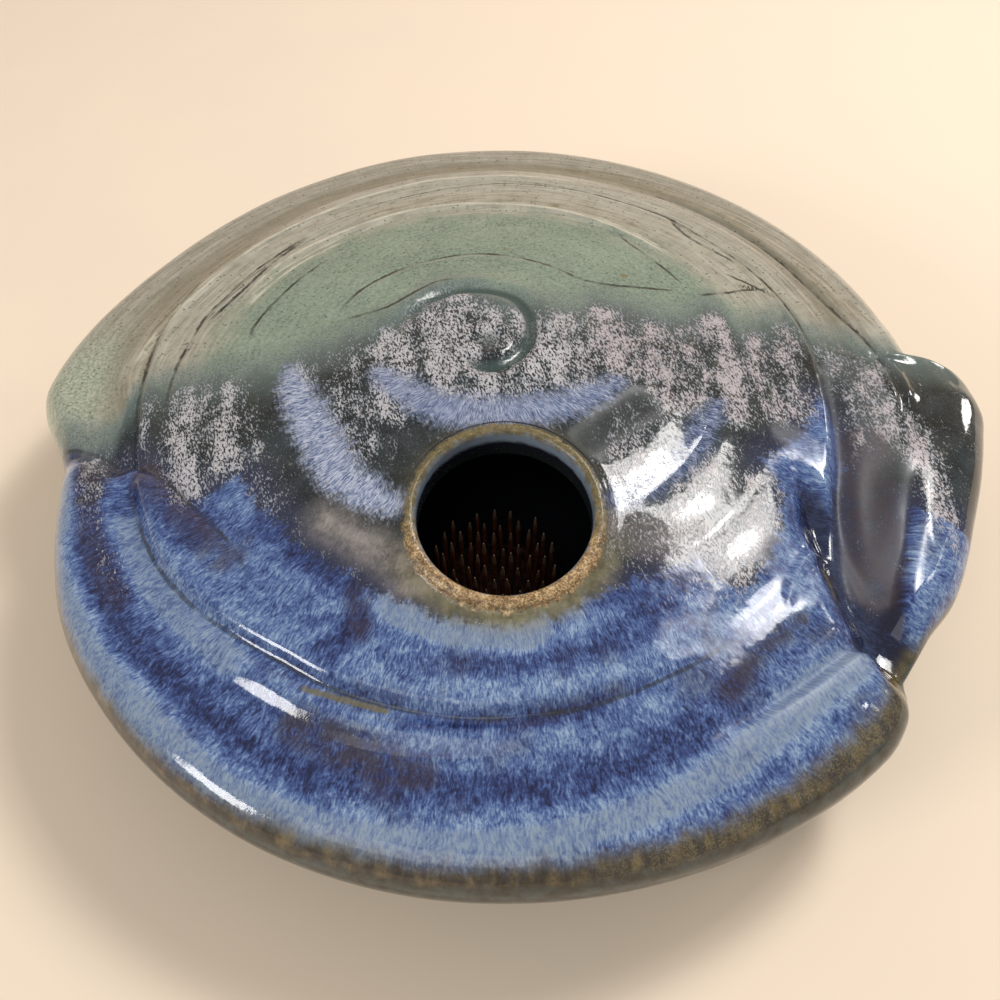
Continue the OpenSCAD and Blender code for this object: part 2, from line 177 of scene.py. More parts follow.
# Where the right side's rings are high: turn of their middle, share there and swing, and the
# angle and the span over which they end in front
RING_SIDE, RING_SHARE, RING_SWING, RING_END, RING_END_W = np.radians(48), 0.3, 1.1, -62, 14
# Roundness of the valleys between the rings, and the middle of the wave
RING_ROUND, RING_MEAN = 0.03, 0.65
# Ring round the dimple at the crown: height, radius and width; width of the dimple
NAVEL_H, NAVEL_R, NAVEL_W, DIMPLE_W = 0.45, 4.4, 1.6, 8
# The front flange, where the outer band has no valley: middle in degrees, span and softness
FLANGE_TURN, FLANGE_SPAN, FLANGE_SOFT = -45, 20, 1.6

# Where the glazes meet, in plan. Sage lies behind this line.
SAGE_EDGE = [(-112, -13), (-95, -13), (-88, -15.5), (-83, -12), (-80, -3), (-70, -2),
             (-60, -2), (-50, -2), (-43, 1), (-38, 2), (-30, 6), (-24, 9), (-20, 15),
             (-14, 19), (-8, 17.5), (-4, 14), (0, 12), (14, 12), (18, 16), (24, 15), (30, 13),
             (37, 13), (42, 18), (46, 19), (50, 13), (54, 15), (60, 19), (63, 20), (68, 14),
             (75, 17), (80, 12.5), (90, 12), (112, 12)]
# Cobalt lies inside this closed line.
COBALT_EDGE = [(-104, -13), (-92, -16), (-88, -22), (-86, -30), (-82, -32), (-80.5, -25),
               (-78, -21), (-74, -24), (-68, -28.5), (-62, -34), (-57, -33), (-53, -31),
               (-49, -37), (-45, -41), (-40, -46.5), (-35, -50.5), (-30, -54), (-26, -57.5),
               (-20, -59), (-10, -62), (0, -62.5), (8, -60.5), (14, -57.5), (18, -55.5),
               (24, -54), (30, -51), (34, -50), (38, -54), (44, -53), (49, -46), (52, -38),
               (52, -30), (50, -26), (53, -23), (57, -19), (60, -15), (62, -10), (64, -6.5),
               (65.5, -9), (67, -14), (67.5, -22), (64.5, -30), (64, -45), (66, -57),
               (70, -51.5), (74, -45), (77.5, -36), (79.5, -31), (82, -33), (86, -34),
               (92, -36), (104, -32), (125, -45), (125, -125), (-125, -125), (-125, -13)]
# Tongues of mauve crystals: path in plan, half width, share of the ground that they cover
TONGUES = [
    ([(-67, -2), (-67, -15), (-64, -32)], 5, 0.8), ([(-59, -2), (-58, -14), (-56, -27)], 3.5, 0.9),
    ([(-84, -18), (-85, -29)], 3, 0.5), ([(-76, -6), (-76, -18)], 2.5, 0.45),
    ([(-53, -16), (-50, -28), (-47, -38)], 3, 0.5), ([(-44, 2), (-43, -7)], 3, 0.9),
    ([(-33, 4), (-33, -12), (-30, -26)], 5, 0.6), ([(-25, 10), (-24, -2), (-24, -16)], 6, 0.9),
    ([(-15, 17), (-14, 5), (-12, -8), (-8, -14)], 7, 0.85), ([(-6, 13), (-5, 3)], 5, 0.7),
    ([(3, 9), (3, 0), (2, -13)], 6, 0.7), ([(10, 11), (11, 0), (12, -9)], 6, 0.8),
    ([(20, 15), (21, 3), (22, -6)], 5.5, 0.85), ([(31, 12), (31, 0), (32, -12)], 5.5, 0.8),
    ([(37, 12), (38, -5), (38, -12)], 4, 0.7), ([(44, 19), (45, 5), (46, -13)], 4.5, 0.92),
    ([(53, 14), (53, 0), (54, -12)], 4, 0.75), ([(60, 17), (60, 0), (60, -10)], 4, 0.8),
    ([(71, 12), (72, 0), (73, -18)], 4.5, 0.55), ([(80, 12), (78, 0), (78, -14)], 4, 0.7),
    # This tongue of pale crystals on the puffed lap is partly a painted highlight
    ([(83, -10), (85, -24), (86, -40)], 3.2, 0.95),
    ([(-86, -20), (-84, -32), (-79, -42), (-73, -52)], 3, 0.8),
    ([(24, -22), (22, -32)], 6, 0.6), ([(40, -29), (30, -42), (20, -45)], 6, 0.6),
    ([(48, -32), (46, -44), (38, -54)], 5, 0.7)]
# Pale patches of runny glaze: path in plan and half width
PATCHES = [([(-46, -4), (-44, -10), (-39, -20.5), (-35.5, -28), (-31.5, -34), (-26, -37.8),
             (-20.5, -40.5)], 2.9, 0.9),
           ([(-27, -8), (-21, -14), (-14, -18.5), (-6, -20.3), (2, -19.6), (9, -17.6),
             (15, -14.8), (21, -10.5)], 2.7, 0.3),
           ([(42, -12), (38, -19), (34, -26.5), (29, -32), (23, -36.5), (17, -40)], 1.9, -0.4)]
# Paler and deeper bands in the cobalt: path, half width, how pale (deep where below zero)
BANDS = [
    ([(-86, -20), (-84, -32), (-79, -43), (-73, -54)], 2.8, -0.9),
    ([(-23, -57), (-16, -60.5), (-7, -63.2), (1, -64)], 5, 1.2),
    ([(2, -64), (8, -64), (14, -62.5)], 3, 0.5),
    ([(-46, -42), (-38, -49), (-31, -54), (-27, -58), (-27, -62.5), (-33, -68)], 2.3, -1.2),
    ([(-8, -69.5), (4, -70), (16, -66), (28, -60)], 2.8, -0.6),
    ([(18, -57), (26, -55), (34, -52.5)], 2.4, -0.9),
    ([(-14, -75), (4, -74.5), (20, -70), (34, -63.5), (44, -55)], 2.2, 0.5),
    ([(-20, -80.7), (-8, -81.2), (2, -80.3), (14, -77)], 0.9, -0.9),
    ([(-76, -37), (-69, -49), (-60, -58.5), (-50, -67.5)], 3.6, 0.8),
    ([(-72, -28), (-67, -34), (-60, -42.5)], 4.2, -1.0),
    ([(-52, -47), (-46, -53), (-38, -60)], 3.2, 0.1),
    ([(-84, -40), (-77, -52), (-70, -62), (-61, -70.5), (-53, -78), (-44, -85), (-34, -89)], 3,
     -0.9),
    # This pale band along the front rim is partly paler glaze and partly a painted sheen
    ([(-94, -22), (-90, -34), (-86, -46), (-79, -59), (-70, -70.5), (-60, -79), (-50, -86.5),
      (-40, -92), (-25, -97.5), (0, -98.5), (14, -95.5), (30, -89), (42, -81), (52, -73),
      (60, -67)], 4.4, 0.9),
    ([(-30, -90), (-15, -92.5), (0, -92.5), (15, -89), (28, -83), (40, -74)], 4, -0.55),
    ([(-28, -79), (-10, -85), (5, -84.5), (20, -80), (32, -73)], 2.6, 0.35),
    ([(52, -44), (54, -53), (50, -60)], 3, 0.3),
    ([(60, -24), (61.5, -36), (63, -48), (67, -60)], 2, 0.5),
    ([(80, -38), (77, -48), (73, -58)], 3, 0.5), ([(88, -42), (82, -52), (75, -62)], 4, 0.2),
    ([(73, -50), (70, -58), (72, -64)], 2.4, -0.9),
    ([(100, -20), (95, -36), (86, -52)], 2.6, 0.6)]
# Rusty purple smudges where iron shows through the cobalt: path, half width, strength
SMUDGES = [([(-37, -80), (-29, -83.5), (-21, -87)], 3.4, 1.0), ([(-23, -88), (-15, -88.5)], 2.4, 1.0),
           ([(-24, -90), (-20, -93)], 1.8, 0.5), ([(58, -61), (52, -62)], 2, 0.7),
           ([(52, -60), (45, -64.5), (40, -70), (37, -74)], 2, 0.95),
           ([(4, -78.6), (11, -77), (18, -74.4)], 0.9, 0.8),
           ([(18, -46), (25, -47.5), (33, -46)], 4.5, 0.35),
           ([(-87, -22), (-84, -33), (-79, -44), (-73, -54)], 2.6, 0.6),
           ([(-73, -26), (-67, -33), (-60, -41), (-54, -48)], 3, 0.7),
           ([(-27, -64), (-28, -57)], 2.2, 0.8), ([(72, -18), (71, -34), (69, -48)], 5.5, 0.95),
           ([(60, -57), (59.5, -49)], 1, 0.8)]
# Painted reflection: a smooth brownish sheen over the dark ground beside the mouth: path, half width,
# strength
SHEEN_STROKES = [([(-35, -42), (-28.5, -46.5), (-22, -50.5), (-18, -55)], 3.2, 0.75),
         ([(19, -45), (26, -45.5), (34, -43.5)], 3.6, 0.5)]
# Where the glaze is thin and satin: path, half width, strength
SATIN = [([(73, 2), (73, -14), (71, -30), (69, -46)], 7, 1.0),
         ([(79, -18), (79, -30), (76, -44)], 2.5, 0.8), ([(55, -16), (60, -21)], 3, 0.7),
         ([(14.5, -26), (20, -20.5), (26, -15)], 3.5, 1.4), ([(29, -65), (37, -63.5)], 3.0, 0.8),
         ([(50, -47), (53.5, -52.5)], 3.5, 1.0),
         ([(37, -81), (46, -75), (54, -69.5), (62, -63.5)], 3, 1.0)]
# Olive rings in the hollows of the sage: path, half width, strength
OLIVE_RINGS = [([(-83, 2), (-80.5, 20), (-75.5, 33), (-60, 57), (-40, 77), (-20, 86), (0, 88.3),
                 (20, 87), (33, 83.5), (50, 73), (62, 60), (70, 47), (79, 28)], 2.6, 0.8),
               ([(-34, 60), (-20, 65), (-4, 66), (12, 64), (26, 56.5), (32, 50)], 2.6, 0.7),
               ([(-100, 8), (-96, -2), (-93, -9)], 3, 0.5)]
# Fields painted in strokes like these, each with the softness of its strokes' edges
STROKES = {"flecks": (TONGUES, 3.6), "smudge": (SMUDGES, 1.6), "painted_sheen": (SHEEN_STROKES, 3.4),
           "satin": (SATIN, 2.5), "olive": (OLIVE_RINGS, 2)}
BAND_SOFT = 1.8
# Thin ochre breaks on sharp crests: path and half width
BREAKS = [([(-36, -74), (-30, -75.6), (-22, -78)], 0.7),
          ([(58.4, -47), (59.4, -50), (60, -53)], 0.4)]
# Thin dark lines in the glaze, and thin pale ones, in plan
DARK_LINES = [RELIEF[k][0] for k in (
    "long spiral line", "spiral line's end", "lobe groove", "centre line", "left upright line",
    "left short line", "left back ring", "back lap crease", "main left line", "lens line")] + [
    [(-36, 10.5), (-26.5, 13), (-20.5, 17.6), (-16.5, 20.7), (-12, 21.9)],
    [(-56.5, 8.5), (-56.5, 12), (-55, 17), (-52, 23), (-47, 31), (-42, 37)],
    [(26, 48.5), (30, 41), (34.5, 34.5), (39, 27)], [(42, 23), (52, 28), (60, 31)],
    [(9.5, 29), (14.7, 24.5), (20, 23), (29.5, 23), (38, 24.4)], [(50, 35), (57, 30.7), (63, 26)],
    [(-68, 17), (-61.5, 28.5), (-55.5, 39.5), (-49, 50)]]
PALE_LINES = [RELIEF["pale back ring"][0], RELIEF["outer back ring"][0]] + [
    [(-60, 20), (-55, 29), (-48, 38), (-39, 46)], [(-83, 6), (-79, 22), (-74, 33), (-66, 45)],
    [(21, 57.5), (29, 51.5), (36, 44)], [(-64, 46), (-54, 57), (-42, 66)]]
# Width of the umber rim at angles round the disc, and how far the lip's gold reaches outwards
RIM_WIDE = [(180, 4), (205, 5.2), (240, 6.2), (270, 7.4), (290, 8), (305, 9.5), (314, 10),
            (318, 3), (360, 2.6)]
LIP_GOLD_BACK, LIP_GOLD_FRONT = -0.9, 0.7
# From here forwards the lip's gold is the front's, and from here to the right the glaze is warmer
LIP_FRONT_AT, LIP_FRONT_W, WARM_AT, WARM_W = 5, 19, 4, 20
# Edges of the green on the left lap, in plan
GREEN_RIGHT, GREEN_FRONT, GREEN_BACK = -80, -16, 34

# How many points are measured at a time, and how far from the lines the distances are measured
POINTS_AT_ONCE, FIELD_REACH, BREAK_FAR, RIM_FAR, SAGE_FAR, POOL_FAR = 8000, 12.0, 3.0, 20, 60, 3
# Thin lines: how far out they count, their distance elsewhere, and the share that fades at an end
LINE_REACH, LINE_FAR, LINE_FADE = 2.2, 9.0, 0.12
# Patches: their distance elsewhere, how far out they count, their width at the ends and the
# swelling between them, as shares of the half width
PATCH_FAR, PATCH_REACH, PATCH_ENDS, PATCH_SWELL = -6.0, 16.0, 0.55, 0.9


def hermite(t, start, end, start_slope, end_slope):
    """Cubic from one value to another, with the slopes that it has at its two ends."""
    return ((1 + 2 * t) * (1 - t) ** 2 * start + t * (1 - t) ** 2 * start_slope
            + t * t * (3 - 2 * t) * end - t * t * (1 - t) * end_slope)


def rim_radius(angle):
    """Radius of the outline at an angle: a cubic through the outline's points, whose slope at a
    point is the harmonic mean of the slopes on both sides, and zero where the radius turns."""
    knots, shares = OUTLINE.T
    steps = np.diff(shares) / np.diff(knots)
    before = np.roll(steps, 1)
    turning = before * steps <= 0
    slopes = np.where(turning, 0, 2 * before * steps / np.where(turning, 1, before + steps))
    slopes = np.append(slopes, slopes[0])
    a = np.degrees(angle) % 360
    i = np.clip(np.searchsorted(knots, a, side="right") - 1, 0, len(steps) - 1)
    w = knots[i + 1] - knots[i]
    share = hermite((a - knots[i]) / w, shares[i], shares[i + 1], w * slopes[i], w * slopes[i + 1])
    return DISC_R * share - INSET


def ease(t):
    """Smooth step: 3t^2 - 2t^3 of t held between 0 and 1."""
    t = np.clip(t, 0, 1)
    return t * t * (3 - 2 * t)


def bell(away, width):
    """Bell curve: 1 at zero, falling like a Gauss curve of this width."""
    return np.exp(-(away / width) ** 2)


def smooth_line(path, parts=6, closed=False):
    """Points on a cubic that passes through every point of the path, its slope at a point half
    the way from the point before to the point after."""
    p = np.array(path, float)
    if closed:
        slope = (np.roll(p, -1, 0) - np.roll(p, 1, 0)) / 2
        p, slope = np.vstack([p, p[:1]]), np.vstack([slope, slope[:1]])
    else:
        slope = np.gradient(p, axis=0)
    t = np.linspace(0, 1, parts, endpoint=False)[None, :, None]
    curve = hermite(t, p[:-1, None], p[1:, None], slope[:-1, None], slope[1:, None])
    return np.vstack([curve.reshape(-1, 2), p[-1:]])


def along(x, y, path, reach, closed=False):
    """Distance to a smooth line, below zero on its right, and the share of its length at the
    nearest spot. Beyond reach the distance is only said to be far."""
    line = smooth_line(path, closed=closed)
    dist, share = np.full(x.shape, 4.0 * reach), np.zeros(x.shape)
    inside = np.flatnonzero((x > line[:, 0].min() - reach) & (x < line[:, 0].max() + reach)
                            & (y > line[:, 1].min() - reach) & (y < line[:, 1].max() + reach))
    a, ab = line[:-1], np.diff(line, axis=0)
    size = np.hypot(*ab.T)
    start = np.append(0, np.cumsum(size))
    for part in np.array_split(inside, len(inside) // POINTS_AT_ONCE + 1):
        if not len(part):
            continue
        px, py = x.flat[part][:, None] - a[:, 0], y.flat[part][:, None] - a[:, 1]
        t = np.clip((px * ab[:, 0] + py * ab[:, 1]) / size ** 2, 0, 1)
        gap = np.hypot(px - t * ab[:, 0], py - t * ab[:, 1])
        k = gap.argmin(1)
        row = np.arange(len(part))
        left = ab[k, 0] * py[row, k] - ab[k, 1] * px[row, k] >= 0
        dist.flat[part] = np.where(left, 1, -1) * gap[row, k]
        share.flat[part] = (start[k] + t[row, k] * size[k]) / start[-1]
    return dist, share


def fades(share, grow, fade):
    """1 along a line, less over its first share grow and over its last share fade."""
    return (ease(share / grow) if grow else 1) * (ease((1 - share) / fade) if fade else 1)


def stroke(x, y, path, half_w, soft):
    """Brush stroke: 1 on the path, 0.5 at half_w from it, 0 a little further."""
    dist, _ = along(x, y, path, half_w + 3 * soft)
    return ease((half_w + soft - np.abs(dist)) / (2 * soft))


def field_of(x, y, edge):
    """Signed distance to a closed line, above zero inside it, by counting the line's crossings."""
    line = smooth_line(edge, 4, closed=True)
    dist, _ = along(x, y, edge, FIELD_REACH, closed=True)
    crossings = np.zeros(x.shape, int)
    for (ax, ay), (bx, by) in zip(line[:-1], line[1:]):
        if ay != by:
            crossings += ((ay > y) != (by > y)) & (x < ax + (y - ay) * (bx - ax) / (by - ay))
    return np.where(crossings % 2 == 1, 1, -1) * np.minimum(np.abs(dist), FIELD_REACH)


def from_rim(x, y):
    """Distance in plan from the outline inwards."""
    return rim_radius(np.arctan2(y, x)) - np.hypot(x, y)


def cone_height(x, y):
    """Plain height of the top: a cone, rounded at the crown like a hyperbola."""
    return CROWN_H - TOP_FALL * (np.hypot(np.hypot(x - CROWN[0], y - CROWN[1]), CROWN_R) - CROWN_R)


def relief(x, y):
    """Height that the potter's hand adds to the plain cone: the sum of the bells across every
    line of RELIEF, the valley inside the outer band, the finger rings round the crown, which are
    broad with narrow valleys between them, like the absolute value of a cosine, and a low ring
    round the dimple at the crown."""
    height = np.zeros(x.shape)
    for path, bells, grow, fade in RELIEF.values():
        dist, share = along(x, y, path, max(abs(b[0]) + 3 * max(b[2:]) for b in bells))
        strength = fades(share, grow, fade)
        for offset, size, left_w, right_w in bells:
            away = dist - offset
            height += size * strength * bell(away, np.where(away > 0, left_w, right_w))
    edge, turn = from_rim(x, y), np.degrees(np.arctan2(y, x))
    at_flange = ease(FLANGE_SOFT - np.abs(turn - FLANGE_TURN) / FLANGE_SPAN)
    height -= BAND_DEPTH * (1 - at_flange) * bell(edge - BAND_W, BAND_W / 4)
    r, turn = np.hypot(x - CROWN[0], y - CROWN[1]), np.arctan2(y - CROWN[1], x - CROWN[0])
    right = (ease(RING_SHARE + RING_SWING * np.cos(turn + RING_SIDE))
             * ease((np.degrees(turn) - RING_END) / RING_END_W))
    size = ease((r - RING_FROM) / RING_GROW) * ease((edge - RING_EDGE) / RING_FADE)
    wave = np.cos(np.pi * (r - RING_R) / RING_STEP)
    height += ((RING_LOW_H + (RING_H - RING_LOW_H) * right) * size
               * (np.sqrt(wave * wave + RING_ROUND) - RING_MEAN))
    return height + NAVEL_H * bell(r - NAVEL_R, NAVEL_W) - (NAVEL_H + CROWN_DIP) * bell(r, DIMPLE_W)


def unevenness(x, y):
    """Slight lack of truth of a hand-thrown piece: three slow waves, a tenth of a millimetre."""
    return 0.12 * np.sin(x / 17 + 1.3) * np.cos(y / 13 + 0.4) + 0.07 * np.sin((x + 2 * y) / 11)


def top_height(x, y):
    """Height of the glazed top, kept just below the CAD crown."""
    return cone_height(x, y) + relief(x, y) + unevenness(x, y) - UNDER_CROWN


MOUTH_Z = float(cone_height(*MOUTH)) - MOUTH_SINK


def mouth_point(angle, rho, up):
    """Point in the leaning frame of the mouth: rho from its axis and up along it."""
    c, s = np.cos(MOUTH_LEAN), np.sin(MOUTH_LEAN)
    x, y = rho * np.cos(angle), rho * np.sin(angle)
    return np.stack([MOUTH[0] + x, MOUTH[1] + y * c - up * s, MOUTH_Z + y * s + up * c], -1)


def columns():
    """Angles of the columns of points round the disc, closer together at the three laps."""
    fine = np.radians(np.arange(0, 360, 0.05))
    crowd = np.ones(fine.shape)
    for at, wide, more in CROWDED:
        crowd += more * bell(np.degrees(fine) - at, wide)
    total = np.append(0, np.cumsum(crowd))
    return np.interp(np.linspace(0, total[-1], COUNT, endpoint=False), total,
                     np.append(fine, 2 * np.pi))


ANGLES = columns()
RIM = rim_radius(ANGLES)


def round_disc(r, z):
    """Points at the columns' angles, one ring or several, at these radii and heights."""
    return np.stack([r * np.cos(ANGLES), r * np.sin(ANGLES), z + 0 * ANGLES], -1)


def round_mouth(rho, up):
    """Points at the columns' angles round the mouth's leaning axis."""
    return mouth_point(ANGLES, rho + 0 * ANGLES, up + 0 * ANGLES)


def top_rows(count=116, roll=ROLL_ROWS):
    """Outer skin of the top: straight spokes from the mouth's seat to the start of the roll,
    lifted to the seat over the flare and up the lip's flank beside it; then the roll, a quarter
    of an ellipse down to the rim's widest line."""
    seat = round_mouth(SEAT_R + SEAT_GAP, 0)
    edge = round_disc(RIM - ROLL_R * (1 - np.cos(ROLL_TURN)), 0)[:, :2]
    span = np.hypot(*(edge - seat[:, :2]).T)
    s = np.linspace(0, 1, count + 1)[1:]
    near = FILLET_STEPS[:, None] / span
    rows = np.vstack([near, near[-1] + (1 - near[-1]) * (s * (1 + 0.25 * (1 - s)))[:, None]])
    plan = seat[None, :, :2] * (1 - rows[..., None]) + edge[None] * rows[..., None]
    x, y = plan[..., 0], plan[..., 1]
    away = rows * span
    z = top_height(x, y)
    z += (seat[:, 2] - z[0]) * (1 - ease(away / FLARE_W))
    z += LIP_FOOT * np.exp(-away / LIP_FOOT)
    turns = ROLL_TURN * (1 - np.arange(1, roll + 1) / roll)[:, None]
    drop = RIM_H + (z[-1] - RIM_H) * np.sin(turns) / np.sin(ROLL_TURN)
    curl = round_disc(RIM - ROLL_R * (1 - np.cos(turns)), drop)
    return np.concatenate([np.stack([x, y, z], -1), curl])


def bowl_rows(count=44):
    """Outer skin of the lower half: a quarter of an ellipse from the rim down to the floor."""
    turns = np.linspace(0, np.pi / 2, count + 1)[:, None]
    return round_disc(FLOOR_R + (RIM - FLOOR_R) * np.cos(turns),
                      RIM_H - (RIM_H - FOOT_H) * np.sin(turns))


def lip_rows():
    """Outer skin of the mouth, from the lip's flank over its crest and down the bore: a parabola
    outside the crest, a quarter of an ellipse inside it, then the straight wall."""
    crest = SEAT_R - CREST_IN
    wave = 0.10 * np.sin(3 * ANGLES + 0.6) + 0.07 * np.sin(5 * ANGLES)
    outer = np.linspace(SEAT_R, crest, 7)[:, None]
    up = LIP_RISE - (LIP_RISE - LIP_FOOT) * ((outer - crest) / CREST_IN) ** 2
    q = np.linspace(0, np.pi / 2, 8)[1:, None]
    deep = np.linspace(LIP_CREST, -WALL - COLLAR_DROP, 9)[1:, None]
    return np.concatenate([
        round_mouth(outer, up + wave * (SEAT_R - outer) / CREST_IN),
        round_mouth(crest - (crest - MOUTH_R) * np.sin(q),
                    LIP_CREST + (LIP_RISE + wave - LIP_CREST) * np.cos(q)),
        round_mouth(MOUTH_R + 0 * deep, deep)])


def normals_of(grid):
    """Outward normals of a grid of points that closes on itself along each row."""
    n = np.cross(np.gradient(grid, axis=0), np.roll(grid, -1, 1) - np.roll(grid, 1, 1))
    return n / np.maximum(np.linalg.norm(n, axis=2, keepdims=True), 1e-12)


def ring_faces(rows, cols, closed):
    """Quads between each row of a grid and the next, round the whole row, and from the last row
    to the first one where the skin closes on itself."""
    last = rows if closed else rows - 1
    k, j = np.meshgrid(np.arange(last), np.arange(cols), indexing="ij")
    m, i = (k + 1) % rows, (j + 1) % cols
    return np.stack([k * cols + j, m * cols + j, m * cols + i, k * cols + i], -1).reshape(-1, 4)


def fan(row, cols, tip):
    """Triangles from a closed row of points, that starts at number row, to the point tip."""
    j = np.arange(cols)
    return np.stack([np.full(cols, tip), row + j, row + (j + 1) % cols], -1)


def build(name, points, quads, triangles=(), shade=None):
    """Mesh from points in millimetres and faces; shade gives a normal for each of its first
    points, and the other points keep the normal that their faces make."""
    mesh = bpy.data.meshes.new(name)
    triangles = np.array(triangles, int).reshape(-1, 3)
    corners = np.concatenate([quads.ravel(), triangles.ravel()])
    sizes = np.append(np.full(len(quads), 4), np.full(len(triangles), 3))
    mesh.vertices.add(len(points))
    mesh.vertices.foreach_set("co", (points * MM).astype(np.float32).ravel())
    mesh.loops.add(len(corners))
    mesh.loops.foreach_set("vertex_index", corners.astype(np.int32))
    mesh.polygons.add(len(sizes))
    mesh.polygons.foreach_set("loop_start", np.append(0, np.cumsum(sizes)[:-1]).astype(np.int32))
    mesh.polygons.foreach_set("use_smooth", np.ones(len(sizes), bool))
    mesh.update(calc_edges=True)
    mesh.validate()
    if shade is not None:
        own = np.zeros(len(points) * 3, np.float32)
        mesh.vertices.foreach_get("normal", own)
        own = own.reshape(-1, 3)
        own[:len(shade)] = shade
        mesh.normals_split_custom_set_from_vertices(own)
    obj = bpy.data.objects.new(name, mesh)
    bpy.context.scene.collection.objects.link(obj)
    return obj


def note(obj, name, values):
    """Writes one number for each point of the piece, for its shader to read."""
    layer = obj.data.attributes.new(name, "FLOAT", "POINT")
    layer.data.foreach_set("value", values.astype(np.float32))


def painted(x, y, strokes, soft):
    """Strongest of some brush strokes, each a path, its half width and its strength."""
    return np.max([strength * stroke(x, y, path, half_w, soft)
                   for path, half_w, strength in strokes], axis=0)


def thin_lines(x, y, paths):
    """Signed distance to the nearest of the lines, and its strength, which is nothing beyond
    LINE_REACH, so that the sign's jumps between two lines never show."""
    best, strength = np.full(x.shape, LINE_FAR), np.zeros(x.shape)
    for path in paths:
        dist, share = along(x, y, path, LINE_REACH + 1.0)
        closer = np.abs(dist) < np.abs(best)
        best = np.where(closer, dist, best)
        shown = fades(share, LINE_FADE, LINE_FADE) * (np.abs(dist) < LINE_REACH)
        strength = np.where(closer, shown, strength)
    return np.clip(best, -LINE_FAR, LINE_FAR), strength


def patches(x, y):
    """Signed distance to the edge of the nearest pale patch, which is widest at the middle of
    its path, and how pale it is."""
    patch, patch_pale = np.full(x.shape, PATCH_FAR), np.zeros(x.shape)
    for path, half_w, pale in PATCHES:
        dist, share = along(x, y, path, PATCH_REACH)
        width = half_w * (PATCH_ENDS + PATCH_SWELL * np.sin(np.pi * np.clip(share, 0, 1)) ** 0.7)
        field = width - np.abs(dist)
        patch_pale = np.where(field > patch, pale, patch_pale)
        patch = np.maximum(patch, field)
    return patch, patch_pale


def paint_fields(obj, points, dark_from):
    """Writes on the mesh, point by point, the fields that the glaze's shader turns into colour:
    distances in millimetres to the glazes' edges and strengths between 0 and 1. The points from
    number dark_from on are inside the pot."""
    x, y, z = points.T
    edge = from_rim(x, y)
    line = smooth_line(SAGE_EDGE, 4)
    line = line[np.argsort(line[:, 0])]
    breaks = [half_w - np.abs(along(x, y, path, BREAK_FAR)[0]) for path, half_w in BREAKS]
    from_mouth = np.hypot(x - MOUTH[0], (y - MOUTH[1]) / np.cos(MOUTH_LEAN))
    front = ease((MOUTH[1] + LIP_FRONT_AT - y) / LIP_FRONT_W)
    fields = {name: painted(x, y, strokes, soft) for name, (strokes, soft) in STROKES.items()}
    fields["patch_field"], fields["patch_pale"] = patches(x, y)
    fields["dark_d"], fields["dark_s"] = thin_lines(x, y, DARK_LINES)
    fields["pale_d"], fields["pale_s"] = thin_lines(x, y, PALE_LINES)
    fields |= {
        "rim_run": np.where(z > RIM_H, 1, -1) * np.minimum(np.hypot(edge, z - RIM_H), RIM_FAR),
        "rim_wide": np.interp(np.degrees(np.arctan2(y, x)) % 360, *np.transpose(RIM_WIDE)),
        "lip_front": LIP_GOLD_BACK + (LIP_GOLD_FRONT - LIP_GOLD_BACK) * front,
        "lip_away": from_mouth - SEAT_R,
        "warm": ease((x - WARM_AT) / WARM_W),
        "lap_green": (ease((GREEN_RIGHT - x) / 14) * ease((y - GREEN_FRONT) / 8)
                      * ease((GREEN_BACK - y) / 30)),
        "sage_field": np.clip(y - np.interp(x, *line.T), -SAGE_FAR, SAGE_FAR),
        "cobalt_field": field_of(x, y, COBALT_EDGE),
        "bands": np.clip(sum(pale * stroke(x, y, path, half_w, BAND_SOFT)
                             for path, half_w, pale in BANDS), -1, 1),
        "breaks": np.maximum(-BREAK_FAR, np.max(breaks, axis=0)),
        "pool": np.clip(relief(x, y), -POOL_FAR, POOL_FAR),
        "edge": edge,
        "inner": np.arange(len(points)) >= dark_from,
    }
    for name, values in fields.items():
        note(obj, name, values)


# The three glazed pieces share one skin: its normals are worked out once over the whole, so
# that the glaze runs on without a seam from the mouth to the foot.
lip, top, bowl = lip_rows(), top_rows(), bowl_rows()
joined_n = normals_of(np.concatenate([lip[::-1], top[1:], bowl[1:]]))
lip_n = joined_n[:len(lip)][::-1]
top_n = joined_n[len(lip) - 1:len(lip) - 1 + len(top)]
bowl_n = joined_n[len(lip) + len(top) - 2:]


def glazed_top():
    """Dome: its outer skin, the flat seam at the rim, the inner skin a wall's thickness below,
    and the wall of the mouth's hole."""
    turns = ROLL_TURN * UNDER_STEPS[:, None]
    drop = RIM_H + (top[-ROLL_ROWS - 1, :, 2] - WALL - RIM_H) * np.sin(turns) / np.sin(ROLL_TURN)
    curl = round_disc(RIM - WALL - (ROLL_R - WALL) * (1 - np.cos(turns)), drop)
    hole = round_mouth(SEAT_R + SEAT_GAP, -WALL)
    t = np.linspace(0, 1, 9)[1:-1, None, None]
    plan = curl[-1, :, :2] * (1 - t) + hole[:, :2] * t
    z = top_height(plan[..., 0], plan[..., 1]) - WALL
    near = np.linalg.norm(plan - hole[:, :2], axis=-1)
    z += (hole[:, 2] - z) * (1 - ease(near / FLARE_W)) * UNDER_FLARE
    rows = np.concatenate([top, curl, np.concatenate([plan, z[..., None]], -1), hole[None]])
    obj = build("glazed_top", rows.reshape(-1, 3), ring_faces(len(rows), COUNT, True),
                shade=top_n.reshape(-1, 3))
    paint_fields(obj, rows.reshape(-1, 3), len(top) * COUNT)
    return obj


